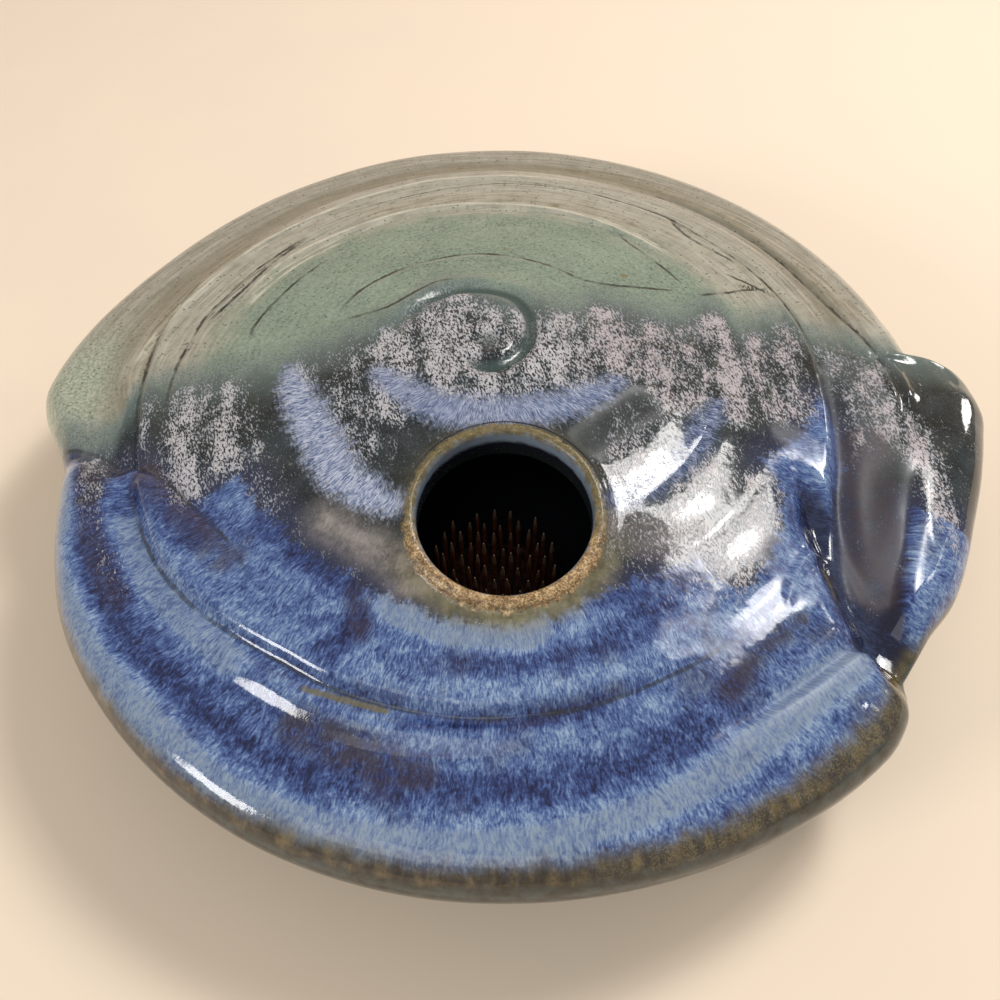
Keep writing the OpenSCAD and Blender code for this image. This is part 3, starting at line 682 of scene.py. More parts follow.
def glazed_bowl():
    """Lower half: its outer skin, the flat underside, and the inner skin from the seam down to
    the floor inside, both closed at the middle."""
    turns = np.linspace(0, np.pi / 2, 8)[:, None]
    inside = round_disc(FLOOR_R + (RIM - WALL - FLOOR_R) * np.cos(turns),
                        RIM_H - (RIM_H - FLOOR_Z) * np.sin(turns))
    rows = np.concatenate([bowl[::-1], inside])
    n = len(rows) * COUNT
    points = np.concatenate([rows.reshape(-1, 3), [[0, 0, FOOT_H], [0, 0, FLOOR_Z]]])
    ends = np.concatenate([fan(0, COUNT, n)[:, ::-1], fan(n - COUNT, COUNT, n + 1)])
    obj = build("glazed_bowl", points, ring_faces(len(rows), COUNT, False)[:, ::-1], ends,
                shade=bowl_n[::-1].reshape(-1, 3))
    paint_fields(obj, points, len(bowl) * COUNT)
    return obj


def mouth_lip():
    """Mouth: lip and bore, closed by the hidden wall that stands in the dome's hole. The field
    bore grows from the lip's inner edge down the bore."""
    rows = np.concatenate([lip, round_mouth(SEAT_R, -WALL - COLLAR_DROP)[None]])
    points = rows.reshape(-1, 3)
    obj = build("mouth_lip", points, ring_faces(len(rows), COUNT, True)[:, ::-1],
                shade=lip_n.reshape(-1, 3))
    paint_fields(obj, points, len(points))
    note(obj, "bore", np.interp(np.repeat(np.arange(len(rows)), COUNT), *np.transpose(BORE)))
    return obj


def turned(name, profile, at, segments=160):
    """Turned piece: a profile of radii and heights carried round an upright axis; a radius of
    zero is a single point at the middle."""
    turn = np.linspace(0, 2 * np.pi, segments, endpoint=False)
    r, z = np.array([ring for ring in profile if ring[0] > 0]).T[..., None]
    grid = np.stack([at[0] + r * np.cos(turn), at[1] + r * np.sin(turn), z + 0 * turn], -1)
    points, ends, n = grid.reshape(-1, 3), (), grid[..., 0].size
    if profile[0][0] == 0:
        points = np.concatenate([points, [[*at, profile[0][1]], [*at, profile[-1][1]]]])
        ends = np.concatenate([fan(0, segments, n), fan(n - segments, segments, n + 1)[:, ::-1]])
    return build(name, points, ring_faces(len(grid), segments, profile[0][0] > 0), ends)


def foot():
    """Foot ring, trimmed on the wheel: a square section with its lower edges bevelled and a
    fine tool line in the outer face. Radii run down the outside and up the inside."""
    out, inn = FOOT_R, FOOT_R - FOOT_W
    profile = [(out - 0.1, FOOT_H), (out, 3.2), (out - 0.35, 2.9), (out, 2.6), (out, 1.1),
               (out - 0.25, 0.5), (out - 0.8, 0.12), (out - 1.2, 0.0), (inn + 1.1, 0.0),
               (inn + 0.6, 0.15), (inn + 0.1, 0.8), (inn, 1.6), (inn, FOOT_H)]
    return turned("clay_foot", profile, (0.0, 0.0), 240)


def frog_pad():
    """Rubber pad under the frog: a disc whose side bulges a little and ends in soft edges."""
    z, r = FLOOR_Z, FROG_R
    profile = [(0, z + PAD_H), (r - 0.5, z + PAD_H), (r - 0.12, z + PAD_H - 0.25), (r, z + 1.2),
               (r - 0.02, z + 0.7), (r - 0.15, z + 0.2), (r - 0.5, z), (0, z)]
    return turned("frog_pad", profile, FROG_AT)


def frog_base():
    """Cast base of the frog: a thick disc with bevelled edges and two turned lines on its side."""
    z, r, h = FLOOR_Z + PAD_H, FROG_R, BASE_H
    profile = [(0, z + h), (r - 1.6, z + h), (r - 1.4, z + h - 0.12), (r - 1.2, z + h),
               (r - BASE_BEVEL, z + h), (r - 0.15, z + h - 0.2), (r, z + h - BASE_BEVEL)]
    for line in BASE_LINES:
        profile += [(r, z + line + 0.25), (r - 0.3, z + line), (r, z + line - 0.25)]
    profile += [(r, z + BASE_BEVEL), (r - 0.2, z + 0.2), (r - BASE_BEVEL, z), (0, z)]
    return turned("frog_base", profile, FROG_AT)


def frog_pins():
    """Pins on a three-way grid: each is a slim round shank that narrows to a ground point, and
    leans a little, at random but the same in every run."""
    rng = np.random.default_rng(PIN_SEED)
    reach = FROG_R - PIN_MARGIN
    rows = int(reach / (PIN_PITCH * np.sin(np.pi / 3)))
    row, k = np.meshgrid(np.arange(-rows, rows + 1), np.arange(-2 * rows, 2 * rows + 1),
                         indexing="ij")
    px = PIN_PITCH * (k + 0.5 * (row % 2))
    py = PIN_PITCH * row * np.sin(np.pi / 3)
    keep = np.hypot(px, py) <= reach
    at = np.stack([px[keep], py[keep]]) + np.reshape(FROG_AT, (2, 1))
    lean = rng.normal(0, PIN_LEAN, at.T.shape).T
    tall = rng.uniform(PIN_SHORT, 1.0, at.shape[1]) * PIN_H
    up, radius = np.transpose(PIN_SHAPE)
    turn = np.linspace(0, 2 * np.pi, PIN_SIDES, endpoint=False)
    h = up[:, None] * tall[:, None, None]
    x, y = at[:, :, None, None] + lean[:, :, None, None] * h
    r = radius[:, None] * PIN_D / 2
    points = np.stack([x + r * np.cos(turn), y + r * np.sin(turn),
                       FLOOR_Z + PAD_H + BASE_H + h + 0 * turn], -1).reshape(-1, 3)
    one = ring_faces(len(up), PIN_SIDES, False)[:, ::-1]
    cap = np.array([(0, a, a + 1) for a in range(1, PIN_SIDES - 1)])
    ends = np.concatenate([cap[:, ::-1], cap + (len(up) - 1) * PIN_SIDES])
    each = np.arange(len(tall))[:, None, None] * (len(up) * PIN_SIDES)
    return build("frog_pins", points, (one + each).reshape(-1, 4), (ends + each).reshape(-1, 3))


def tone(red, green, blue):
    """Colour as it looks on a screen, 0 to 255 each, made linear."""
    c = np.array([red, green, blue]) / 255
    linear = np.where(c <= 0.04045, c / 12.92, ((c + 0.055) / 1.055) ** 2.4)
    return (*[float(v) for v in linear], 1.0)


def tones(*stops):
    """Stops of a colour ramp: each a place between 0 and 1 and the colour's three shares."""
    return [(at, tone(*color)) for at, *color in stops]


class Board:
    """Shader tree on which each method places one node, or a few, and gives back what comes
    out."""

    def __init__(self, tree):
        self.tree = tree

    def feed(self, socket, value):
        """Links or sets an input; nothing is done for None."""
        if isinstance(value, bpy.types.NodeSocket):
            self.tree.links.new(value, socket)
        elif value is not None:
            socket.default_value = value

    def put(self, kind, settings=(), **sockets):
        """One node of a kind, with its settings, and its inputs by name."""
        node = self.tree.nodes.new("ShaderNode" + kind)
        for key, value in dict(settings).items():
            setattr(node, key, value)
        for key, value in sockets.items():
            self.feed(node.inputs[key.replace("_", " ")], value)
        return node

    def use(self, group, **sockets):
        return self.put("Group", {"node_tree": group}, **sockets).outputs[0]

    def calc(self, operation, *values):
        node = self.put("Math", {"operation": operation})
        for socket, value in zip(node.inputs, values):
            self.feed(socket, value)
        return node.outputs[0]

    def total(self, first, *others):
        for value in others:
            first = self.calc("ADD", first, value)
        return first

    def product(self, first, *others):
        for value in others:
            first = self.calc("MULTIPLY", first, value)
        return first

    def centred(self, value):
        """The value less a half, so that a noise swings about zero."""
        return self.calc("SUBTRACT", value, 0.5)

    def vector(self, operation, a, b=None):
        node = self.put("VectorMath", {"operation": operation})
        self.feed(node.inputs[0], a)
        self.feed(node.inputs["Scale" if operation == "SCALE" else 1], b)
        return node.outputs["Value" if operation == "LENGTH" else "Vector"]

    def raised(self, place, height):
        """A place, moved up by a height."""
        return self.vector("ADD", place, self.put("CombineXYZ", Z=height).outputs[0])

    def millimetres(self):
        """The piece's own coordinates, in millimetres."""
        return self.vector("SCALE", self.put("TexCoord").outputs["Object"], 1 / MM)

    def step(self, value, low, high, first=0.0, last=1.0):
        """Smooth step: first where the value is at low or beyond it, last at high."""
        node = self.put("MapRange", {"interpolation_type": "SMOOTHSTEP"}, Value=value)
        for key, v in (("From Min", low), ("From Max", high), ("To Min", first), ("To Max", last)):
            self.feed(node.inputs[key], v)
        return node.outputs["Result"]

    def noise(self, where, size, detail=2.0, rough=0.5, out="Fac"):
        """Noise whose features are about size across, in the units of where."""
        return self.put("TexNoise", Vector=where, Scale=1.0 / size, Detail=detail,
                        Roughness=rough).outputs[out]

    def swing(self, where, size, amount, detail=3.0, rough=0.6):
        """Noise that swings evenly about zero."""
        return self.product(self.centred(self.noise(where, size, detail, rough)), amount)

    def mottle(self, where, size, low, high, a, b, detail=3.0, rough=0.5):
        """From a to b, two colours or two numbers, where noise climbs from low to high."""
        noise = self.noise(where, size, detail, rough)
        if isinstance(a, tuple):
            return self.blend(self.step(noise, low, high), a, b)
        return self.step(noise, low, high, a, b)

    def blend(self, share, a, b):
        node = self.put("Mix", {"data_type": "RGBA", "clamp_factor": True})
        for socket, value in zip((node.inputs[0], *node.inputs[6:8]), (share, a, b)):
            self.feed(socket, value)
        return node.outputs[2]

    def ramp(self, share, stops):
        """Colour that runs through the stops, each a place between 0 and 1 and its colour."""
        node = self.put("ValToRGB", Fac=share)
        spots = node.color_ramp.elements
        for spot, (at, color) in ((spots[0], stops[0]), (spots[-1], stops[-1])):
            spot.position, spot.color = at, color
        for at, color in stops[1:-1]:
            spots.new(at).color = color
        return node.outputs["Color"]

    def field(self, name):
        return self.put("Attribute", {"attribute_name": name}).outputs["Fac"]


# Colours of the glazes, darkest first in each list
SAGE = tones((0.34, 92, 108, 94), (0.5, 128, 143, 127), (0.66, 150, 163, 147))
STONE = tones((0.32, 126, 124, 110), (0.5, 162, 158, 144), (0.68, 184, 181, 168))
FLANGE = tones((0.32, 122, 118, 104), (0.5, 152, 147, 134), (0.68, 182, 175, 163))
OLIVE = tones((0.34, 116, 108, 86), (0.6, 166, 156, 134))
GREEN_DEEP, GREEN_PALE = tone(126, 140, 122), tone(184, 192, 174)
TEAL, TEAL_DEEP = tone(124, 136, 130), tone(54, 72, 70)
SPECK, RUST_SPECK = tone(74, 87, 73), tone(120, 104, 68)
NIGHT, NIGHT_GREY = tone(28, 33, 34), tone(46, 52, 54)
NIGHT_TEAL, NIGHT_PINK = tone(88, 100, 96), tone(84, 78, 75)
CRYSTAL, CRYSTAL_RIGHT = tone(192, 185, 183), tone(176, 161, 158)
CRYSTAL_THIN = tone(116, 121, 124)
BLUE = tones((0.0, 28, 31, 62), (0.25, 46, 60, 108), (0.5, 74, 96, 146), (0.75, 112, 135, 172),
             (1.0, 150, 169, 194))
RUNNY = tones((0.0, 40, 48, 76), (0.3, 76, 90, 128), (0.6, 124, 138, 170), (1.0, 192, 197, 214))
# Colours of the painted sheen, a brownish painted reflection beside the mouth
SHEEN_TONES = tones((0.34, 102, 96, 95), (0.66, 172, 163, 158))
NAVY, PLUM, INK, MIST_GREY = tone(44, 47, 78), tone(54, 43, 51), tone(26, 26, 38), tone(132, 146, 162)
DARK_LINE, PALE_LINE = tone(46, 48, 46), tone(208, 204, 186)
UMBER = tones((0.34, 42, 36, 24), (0.5, 78, 66, 41), (0.66, 124, 106, 68))
UNDER, UNDER_BLUE = tone(53, 49, 39), tone(78, 84, 82)
OLIVE_GOLD, GOLD_FLECK = tone(110, 102, 59), tone(150, 136, 84)
LIP = tones((0.3, 72, 54, 36), (0.45, 126, 98, 66), (0.58, 170, 138, 94), (0.7, 216, 188, 146))
LIP_BACK, HALO = tone(104, 100, 66), tones((0.35, 94, 88, 56), (0.65, 140, 133, 102))
# Colours of the clay, the rubber, the metals and the floor
CLAY, CLAY_DARK, CLAY_SPECK = tone(150, 124, 96), tone(128, 102, 78), tone(64, 46, 34)
RUBBER, DUST = tone(28, 27, 26), tone(58, 56, 52)
IRON, RUST = tone(52, 50, 48), tone(70, 48, 36)
BRASS_RED, BRASS_BROWN, BRASS_BRIGHT = tone(112, 62, 42), tone(74, 40, 30), tone(176, 150, 118)
FLOOR_TONE, FLOOR_SHADE = tone(240, 222, 200), tone(222, 212, 200)
ROOM_LIGHT = (0.39, 0.384, 0.376, 1.0)

# Grain of the glaze in millimetres: its finest grain, the next, its tufts and its clouds
FINE, GRAIN, TUFT, CLOUD = 0.34, 0.75, 3.2, 14.0
# The crystals: size, slope of their dashes and how long these are, and how fast cover turns
# into crystals
SHARD, SHARD_TURN, SHARD_LONG, FLECK_SPREAD = 0.35, -0.32, 0.42, 0.24
# The fur of the cobalt: how far it sways and how strong it is, and the sizes, stretches and
# shares of its two layers
SWAY, DRIFT, FUR = 2.2, 5.0, 2.3
FUR_LAYERS = ((0.28, 0.2, 0.62, 0.65), (0.6, 0.26, 0.6, 0.35))
# How far apart the throwing lines are, at what radius the run of the glaze is measured, and how
# far in front of the crown its middle lies
HOOP_STEP, RUN_LONG, RUN_FRONT = 0.8, 60.0, 6.0
# Where sage turns to stone, as a radius, and the flange to stone, from the rim
STONE_FROM, STONE_AT = (66.0, 78.0), (18.0, 25.0)
# Widths of the thin dark and the thin pale lines
DARK_W, PALE_W = 0.24, 0.3


def group_of(name, inputs, outputs, board=None):
    """New node group with named sockets; gives its board, its inputs by name and its output."""
    tree = bpy.data.node_groups.new(name, "ShaderNodeTree")
    for in_out, sockets in (("INPUT", inputs), ("OUTPUT", outputs)):
        for key, kind in sockets.items():
            tree.interface.new_socket(name=key, in_out=in_out, socket_type="NodeSocket" + kind)
    enter, leave = tree.nodes.new("NodeGroupInput"), tree.nodes.new("NodeGroupOutput")
    return (board or Board)(tree), enter.outputs, leave.inputs


def ragged_group():
    """Mask of a glaze's edge: the signed distance plus noise, cut at zero. Sideways noise is
    finer than noise along the run, so the edge ends in tongues."""
    b, i, o = group_of("ragged edge", {"Field": "Float", "Run": "Vector", "Where": "Vector",
                                       "Tongues": "Float", "Grain": "Float", "Soft": "Float"},
                       {"Mask": "Float"})
    value = b.total(i["Field"], b.swing(i["Run"], 2.6, i["Tongues"]),
                    b.swing(i["Where"], 0.9, i["Grain"], 3, 0.65))
    b.feed(o["Mask"], b.step(value, b.product(i["Soft"], -1.0), i["Soft"]))
    return b.tree


def line_group():
    """Mask of a thin line: 1 where the signed distance is less than the width, wavering."""
    b, i, o = group_of("thin line", {"Distance": "Float", "Strength": "Float", "Width": "Float",
                                     "Where": "Vector"}, {"Mask": "Float"})
    waver = b.swing(i["Where"], 1.6, 0.7, 2, 0.5)
    gap = b.calc("ABSOLUTE", b.total(i["Distance"], waver))
    mask = b.step(gap, i["Width"], b.product(i["Width"], 2.2), 1.0, 0.0)
    worn = b.mottle(i["Where"], 5.0, 0.32, 0.6, 0.25, 1.0, 2)
    b.feed(o["Mask"], b.product(mask, i["Strength"], worn))
    return b.tree


def speck_group():
    """Specks: small dark spots where cells of noise come near their middles."""
    b, i, o = group_of("specks", {"Where": "Vector", "Size": "Float", "Share": "Float"},
                       {"Mask": "Float"})
    scaled = b.vector("SCALE", i["Where"], b.calc("DIVIDE", 1.0, i["Size"]))
    cells = b.put("TexVoronoi", Vector=scaled, Scale=1.0).outputs["Distance"]
    pick = b.step(b.noise(scaled, 1.7, 1), b.calc("SUBTRACT", 1.0, i["Share"]),
                  b.calc("SUBTRACT", 1.04, i["Share"]))
    b.feed(o["Mask"], b.product(b.step(cells, 0.12, 0.3, 1.0, 0.0), pick))
    return b.tree


RAGGED, LINE, SPECKS = ragged_group(), line_group(), speck_group()


class Glaze(Board):
    """Board of the glaze, with the fields of the mesh and the noises that its zones share."""

    def __init__(self, tree):
        super().__init__(tree)
        self.where = self.millimetres()
        self.sage_in, self.cobalt_in = self.field("sage_field"), self.field("cobalt_field")
        self.pool, self.edge, self.warm = self.field("pool"), self.field("edge"), self.field("warm")
        self.fine = self.noise(self.where, FINE, 2, 0.6)
        self.grain = self.noise(self.where, GRAIN, 3, 0.7)
        self.tuft = self.noise(self.where, TUFT, 3, 0.6)
        self.upright = self.vector("MULTIPLY", self.where, (1.0, 0.28, 1.0))
        turned_way = self.put("VectorRotate", {"rotation_type": "Z_AXIS"}, Vector=self.where,
                              Angle=SHARD_TURN).outputs[0]
        self.slant = self.vector("MULTIPLY", turned_way, (1.0, SHARD_LONG, 1.0))
        self.out, fall, self.radius = self.run_of(self.where)
        wavy = self.total(fall, self.swing(self.where, 9.0, 9.0, 1))
        self.run = self.raised(self.out, self.product(wavy, 0.16))
        drift = self.noise(self.where, DRIFT, out="Color")
        drift = self.vector("SCALE", self.vector("SUBTRACT", drift, (0.5, 0.5, 0.5)), SWAY)
        out, fall, _ = self.run_of(self.vector("ADD", self.where, drift))
        self.fur = self.total(*(
            self.product(self.noise(self.raised(out, self.product(fall, stretch)), size, 3, rough),
                         share) for size, stretch, rough, share in FUR_LAYERS))

    def run_of(self, place):
        """Direction away from the crown, how far down the run a place lies, and its radius."""
        from_middle = self.vector("SUBTRACT", place, (CROWN[0], CROWN[1] - RUN_FRONT, 0.0))
        parts = self.put("SeparateXYZ", Vector=from_middle).outputs
        flat = self.put("CombineXYZ", X=parts[0], Y=parts[1]).outputs[0]
        radius = self.vector("LENGTH", flat)
        out = self.vector("SCALE", self.vector("NORMALIZE", flat), RUN_LONG)
        return out, self.calc("SUBTRACT", radius, parts[2]), radius

    def cover(self, color, share, other, strength=None):
        """The colour, covered by another one where share is 1, or at most strength of it."""
        return self.blend(share if strength is None else self.product(share, strength), color, other)

    def sage_and_stone(self):
        """Sage round the crown, and stone with throwing lines outside it, olive in the hollows
        of the rings, with dark specks and rusty ones; teal where it ends over the dark glaze."""
        ring = self.product(self.total(self.radius, self.product(self.edge, -1.0), DISC_R), 0.5)
        hoops = self.raised(self.vector("SCALE", self.out, 0.12),
                            self.calc("DIVIDE", ring, HOOP_STEP))
        self.throwing = self.noise(hoops, 1.0, 3, 0.6)
        cloud = self.noise(self.where, CLOUD, 3, 0.55)
        lines = self.total(self.product(self.throwing, 0.62),
                           self.product(self.noise(self.run, 1.8, 3, 0.6), 0.2),
                           self.product(self.grain, 0.18))
        sage = self.total(self.product(self.grain, 0.62), self.product(cloud, 0.2),
                          self.product(self.throwing, 0.18))
        stone = self.blend(self.step(self.edge, *STONE_AT), self.ramp(lines, FLANGE),
                           self.ramp(lines, STONE))
        zone = self.total(self.radius, self.product(cloud, 20.0))
        back = self.blend(self.step(zone, *STONE_FROM), self.ramp(sage, SAGE), stone)
        in_rings = self.product(self.field("olive"), self.step(self.throwing, 0.3, 0.6, 0.9, 0.4))
        back = self.cover(back, in_rings, self.ramp(lines, OLIVE))
        back = self.cover(back, self.step(self.pool, 0.25, 0.9, 0.0, 0.5), STONE[-1][1])
        back = self.cover(back, self.step(self.pool, -0.9, -0.25, 0.5, 0.0), OLIVE[0][1])
        back = self.cover(back, self.step(self.edge, 0.0, 5.0, 0.35, 0.0), OLIVE[0][1])
        green = self.blend(self.step(self.grain, 0.36, 0.64), GREEN_DEEP, GREEN_PALE)
        back = self.cover(back, self.field("lap_green"), green, 0.75)
        back = self.cover(back, self.use(SPECKS, Where=self.where, Size=1.25, Share=0.52), SPECK, 0.8)
        elsewhere = self.vector("ADD", self.where, (31.0, 17.0, 5.0))
        back = self.cover(back, self.use(SPECKS, Where=elsewhere, Size=5.0, Share=0.3), RUST_SPECK,
                          0.7)
        near = self.total(self.sage_in, self.swing(self.where, 4.0, 7.0))
        teal = self.blend(self.step(self.fine, 0.4, 0.62), TEAL, NIGHT_TEAL)
        return self.cover(back, self.step(near, 1.0, 10.0, 1.0, 0.0), teal, 0.85)

    def crystals(self):
        """Crystals over near-black in the middle: slanting dashes, thicker in the tongues."""
        tongue = self.total(self.product(self.field("flecks"), 0.84),
                            self.swing(self.upright, 2.4, 1.3), self.swing(self.where, 9.0, 0.5, 1),
                            self.swing(self.where, 3.5, 0.9, 2), -0.14)
        tongue = self.product(tongue, self.step(self.sage_in, 1.0, -5.0, 0.3, 1.0))
        most = self.total(self.product(self.warm, 0.2), 0.66)
        tongue = self.calc("MINIMUM", tongue, most)
        sparse = self.product(self.calc("SUBTRACT", 0.5, tongue), FLECK_SPREAD)
        self.above = self.calc("SUBTRACT", self.noise(self.slant, SHARD, 3, 0.66),
                               self.total(sparse, 0.5))
        self.crystal = self.step(self.above, -0.028, 0.03)
        thick = self.step(tongue, 0.25, 0.75)
        night = self.mottle(self.where, 6.0, 0.36, 0.64, NIGHT, NIGHT_GREY)
        dark = self.cover(night, self.step(self.sage_in, -12.0, 0.0), NIGHT_TEAL)
        dark = self.cover(dark, self.step(self.cobalt_in, -9.0, -0.5), NAVY, 0.7)
        dark = self.cover(dark, self.step(self.fine, 0.5, 0.7), CRYSTAL_THIN, 0.2)
        dark = self.cover(dark, self.product(thick, self.warm), NIGHT_PINK, 0.75)
        pale = self.blend(self.warm, CRYSTAL, CRYSTAL_RIGHT)
        pale = self.blend(thick, CRYSTAL_THIN, pale)
        self.pale = self.cover(pale, self.mottle(self.where, 0.6, 0.4, 0.62, 0.0, 0.25, 2),
                               CRYSTAL_THIN)
        return self.blend(self.crystal, dark, self.pale)

    def cobalt(self):
        """Cobalt in front: fine wavy fur, paler and deeper in bands and where the glaze
        pooled."""
        bands = self.field("bands")
        depth = self.total(0.52, self.product(self.centred(self.fur), FUR),
                           self.product(bands, 0.3), self.product(self.pool, 0.1),
                           self.product(self.centred(self.tuft), 0.9),
                           self.swing(self.where, 0.5, 0.45))
        cobalt = self.ramp(depth, BLUE)
        cobalt = self.cover(cobalt, self.mottle(self.where, 11.0, 0.56, 0.74, 0.0, 0.4), PLUM)
        mist = self.blend(self.step(self.fur, 0.4, 0.62), self.blend(0.45, BLUE[2][1], MIST_GREY),
                          MIST_GREY)
        misty = self.step(self.total(bands, self.product(self.fur, 0.6)), 0.86, 1.3, 0.0, 0.8)
        cobalt = self.cover(cobalt, misty, mist)
        return self.cover(cobalt, self.step(self.pool, -3.0, -1.1, 0.7, 0.0), INK)

    def zones(self):
        """The three zones laid over each other, with the runny patches, and stray crystals on
        the cobalt near its edge."""
        back, middle, cobalt = self.sage_and_stone(), self.crystals(), self.cobalt()
        self.on_sage = self.use(RAGGED, Field=self.sage_in, Run=self.upright, Where=self.where,
                                Tongues=9.0, Grain=1.5, Soft=2.6)
        self.on_cobalt = self.use(RAGGED, Field=self.cobalt_in, Run=self.run, Where=self.where,
                                  Tongues=7.0, Grain=5.0, Soft=1.1)
        on_patch = self.use(RAGGED, Field=self.field("patch_field"), Run=self.run,
                            Where=self.vector("SCALE", self.slant, 1.7), Tongues=5.0, Grain=7.0,
                            Soft=2.2)
        color = self.blend(self.on_cobalt, middle, cobalt)
        inward = self.calc("MAXIMUM", self.cobalt_in, 0.0)
        stray = self.total(self.above, self.product(inward, -0.007), -0.02)
        thick = self.total(self.field("flecks"), self.swing(self.upright, 2.4, 1.0))
        stray = self.product(self.step(stray, -0.012, 0.03), self.step(thick, 0.1, 0.5))
        color = self.cover(color, stray, self.blend(0.4, self.pale, RUNNY[-1][1]), 0.8)
        runny = self.total(0.49, self.product(self.centred(self.fur), 4.0),
                           self.product(self.field("patch_pale"), 0.26),
                           self.swing(self.where, 2.2, 0.7))
        color = self.cover(color, on_patch, self.ramp(runny, RUNNY), 0.92)
        color = self.cover(color, self.on_sage, back)
        groove = self.product(self.step(self.pool, -1.1, -0.45, 1.0, 0.0),
                              self.step(self.radius, 24.0, 30.0, 1.0, 0.0))
        return self.cover(color, groove, TEAL_DEEP, 0.85)

    def worn(self, color):
        """Painted sheen, a brownish painted reflection beside the mouth; iron showing through, breaks
        on the crests, and the thin lines.
        """
        # Painted reflection: a brownish sheen laid over the dark ground beside the mouth
        sheen_share = self.product(self.field("painted_sheen"), self.step(self.tuft, 0.3, 0.6, 0.6, 1.0))
        painted_sheen = self.total(self.product(self.fur, 0.6), self.product(self.tuft, 0.4))
        color = self.cover(color, sheen_share, self.ramp(painted_sheen, SHEEN_TONES))
        iron = self.step(self.total(self.tuft, self.product(self.fine, 0.4)), 0.48, 0.8)
        color = self.cover(color, self.product(self.field("smudge"), iron), PLUM, 0.85)
        breaks = self.use(RAGGED, Field=self.field("breaks"), Run=self.run, Where=self.where,
                          Tongues=0.7, Grain=1.6, Soft=0.35)
        color = self.cover(color, breaks, OLIVE_GOLD, 0.75)
        dark, pale = (self.use(LINE, Distance=self.field(name + "_d"), Where=self.where,
                               Strength=self.field(name + "_s"), Width=width)
                      for name, width in (("dark", DARK_W), ("pale", PALE_W)))
        dark = self.product(dark, self.step(self.on_sage, 0.0, 1.0, 0.7, 0.95))
        return self.cover(self.cover(color, dark, DARK_LINE), pale, PALE_LINE, 0.7)

    def rim(self, color):
        """Umber where the glaze thins on the front's outer edge, dull grey below it."""
        wide, front = self.field("rim_wide"), self.step(self.cobalt_in, 0.0, 6.0)
        down = self.total(self.field("rim_run"), self.swing(self.run, 2.4, 3.0),
                          self.swing(self.where, 6.0, 2.0, 2))
        over = self.calc("SUBTRACT", down, wide)
        brown = self.total(self.product(self.noise(self.run, 1.3, 3), 0.4),
                           self.product(self.grain, 0.25),
                           self.product(self.noise(self.where, 3.4, 2), 0.35))
        brown = self.cover(self.ramp(brown, UMBER), self.step(over, -3.0, 0.5, 0.0, 0.45),
                           OLIVE_GOLD)
        fleck = self.total(self.product(self.fine, 0.6),
                           self.product(self.noise(self.run, 1.0, 3), 0.4))
        flecked = self.product(self.warm, self.step(fleck, 0.46, 0.6))
        brown = self.cover(brown, flecked, GOLD_FLECK, 0.4)
        umber = self.product(self.step(over, -2.6, 1.4, 1.0, 0.0), front)
        color = self.cover(color, umber, brown, 0.92)
        wider = self.calc("MAXIMUM", self.total(wide, -5.0), 0.0)
        thin = self.total(down, self.product(wider, -0.8))
        below = self.product(self.step(thin, 0.6, 2.0, 1.0, 0.0), front)
        grey = self.blend(self.step(self.tuft, 0.3, 0.7), UNDER, UNDER_BLUE)
        return self.cover(color, below, grey, 0.9)

    def mouth(self, color):
        """A ragged gold edge on the lip, greener behind, an olive halo in front of it, and the inside
        of the pot painted near-black as painted shade."""
        away, front = self.field("lip_away"), self.field("lip_front")
        halo = self.step(self.total(away, self.swing(self.where, 2.6, 4.0)), 0.6, 6.5, 1.0, 0.0)
        halo = self.product(halo, self.step(self.cobalt_in, -14.0, -1.0))
        color = self.cover(color, halo, self.ramp(self.tuft, HALO), 0.85)
        away = self.total(away, self.swing(self.where, 1.6, 3.2), self.product(front, -1.0))
        self.on_lip = self.step(away, -0.5, 0.5, 1.0, 0.0)
        gold = self.total(0.5, self.swing(self.where, 0.42, 1.1, 3, 0.7),
                          self.swing(self.where, 1.5, 0.7), self.product(front, 0.06))
        gold = self.cover(self.ramp(gold, LIP), self.step(front, 0.6, -0.8, 0.0, 0.65), LIP_BACK)
        color = self.cover(color, self.on_lip, gold, 0.95)
        # Painted shade: the inside of the pot is painted near-black
        return self.cover(color, self.field("inner"), self.blend(0.5, NIGHT, INK))


def glaze_group():
    """The whole glaze, each zone from the fields on the mesh. Gold is how much the lip's gold
    dulls it. It gives out the colour, the roughness and the height of the glaze's own surface in
    millimetres: slow waves, orange peel, crystals that stand up and a sparkling grain on the
    lip."""
    b, i, o = group_of("glaze", {"Gold": "Float"},
                       {"Color": "Color", "Roughness": "Float", "Height": "Float"}, Glaze)
    b.feed(o["Color"], b.mouth(b.rim(b.worn(b.zones()))))
    bare = b.calc("SUBTRACT", 1.0, b.calc("MAXIMUM", b.on_cobalt, b.on_sage))
    b.feed(o["Height"], b.total(
        b.swing(b.where, 6.0, 0.1, 2), b.swing(b.where, 1.1, 0.012, 2),
        b.product(b.crystal, bare, 0.024), b.product(b.fur, b.on_cobalt, 0.02),
        b.product(b.throwing, b.on_sage, 0.05), b.product(b.fine, b.on_lip, 0.1)))
    b.feed(o["Roughness"], b.total(
        0.07, b.product(b.crystal, bare, 0.17), b.product(b.on_sage, 0.12),
        b.product(b.field("satin"), 0.5), b.product(i["Gold"], b.on_lip, 0.08)))
    return b.tree


GLAZE = glaze_group()


def glazed(b):
    """Glossy stoneware glaze."""
    glaze = b.put("Group", {"node_tree": GLAZE}, Gold=1.0).outputs
    return {"Base Color": glaze["Color"], "Roughness": glaze["Roughness"],
            "Height": glaze["Height"], "IOR": 1.52}


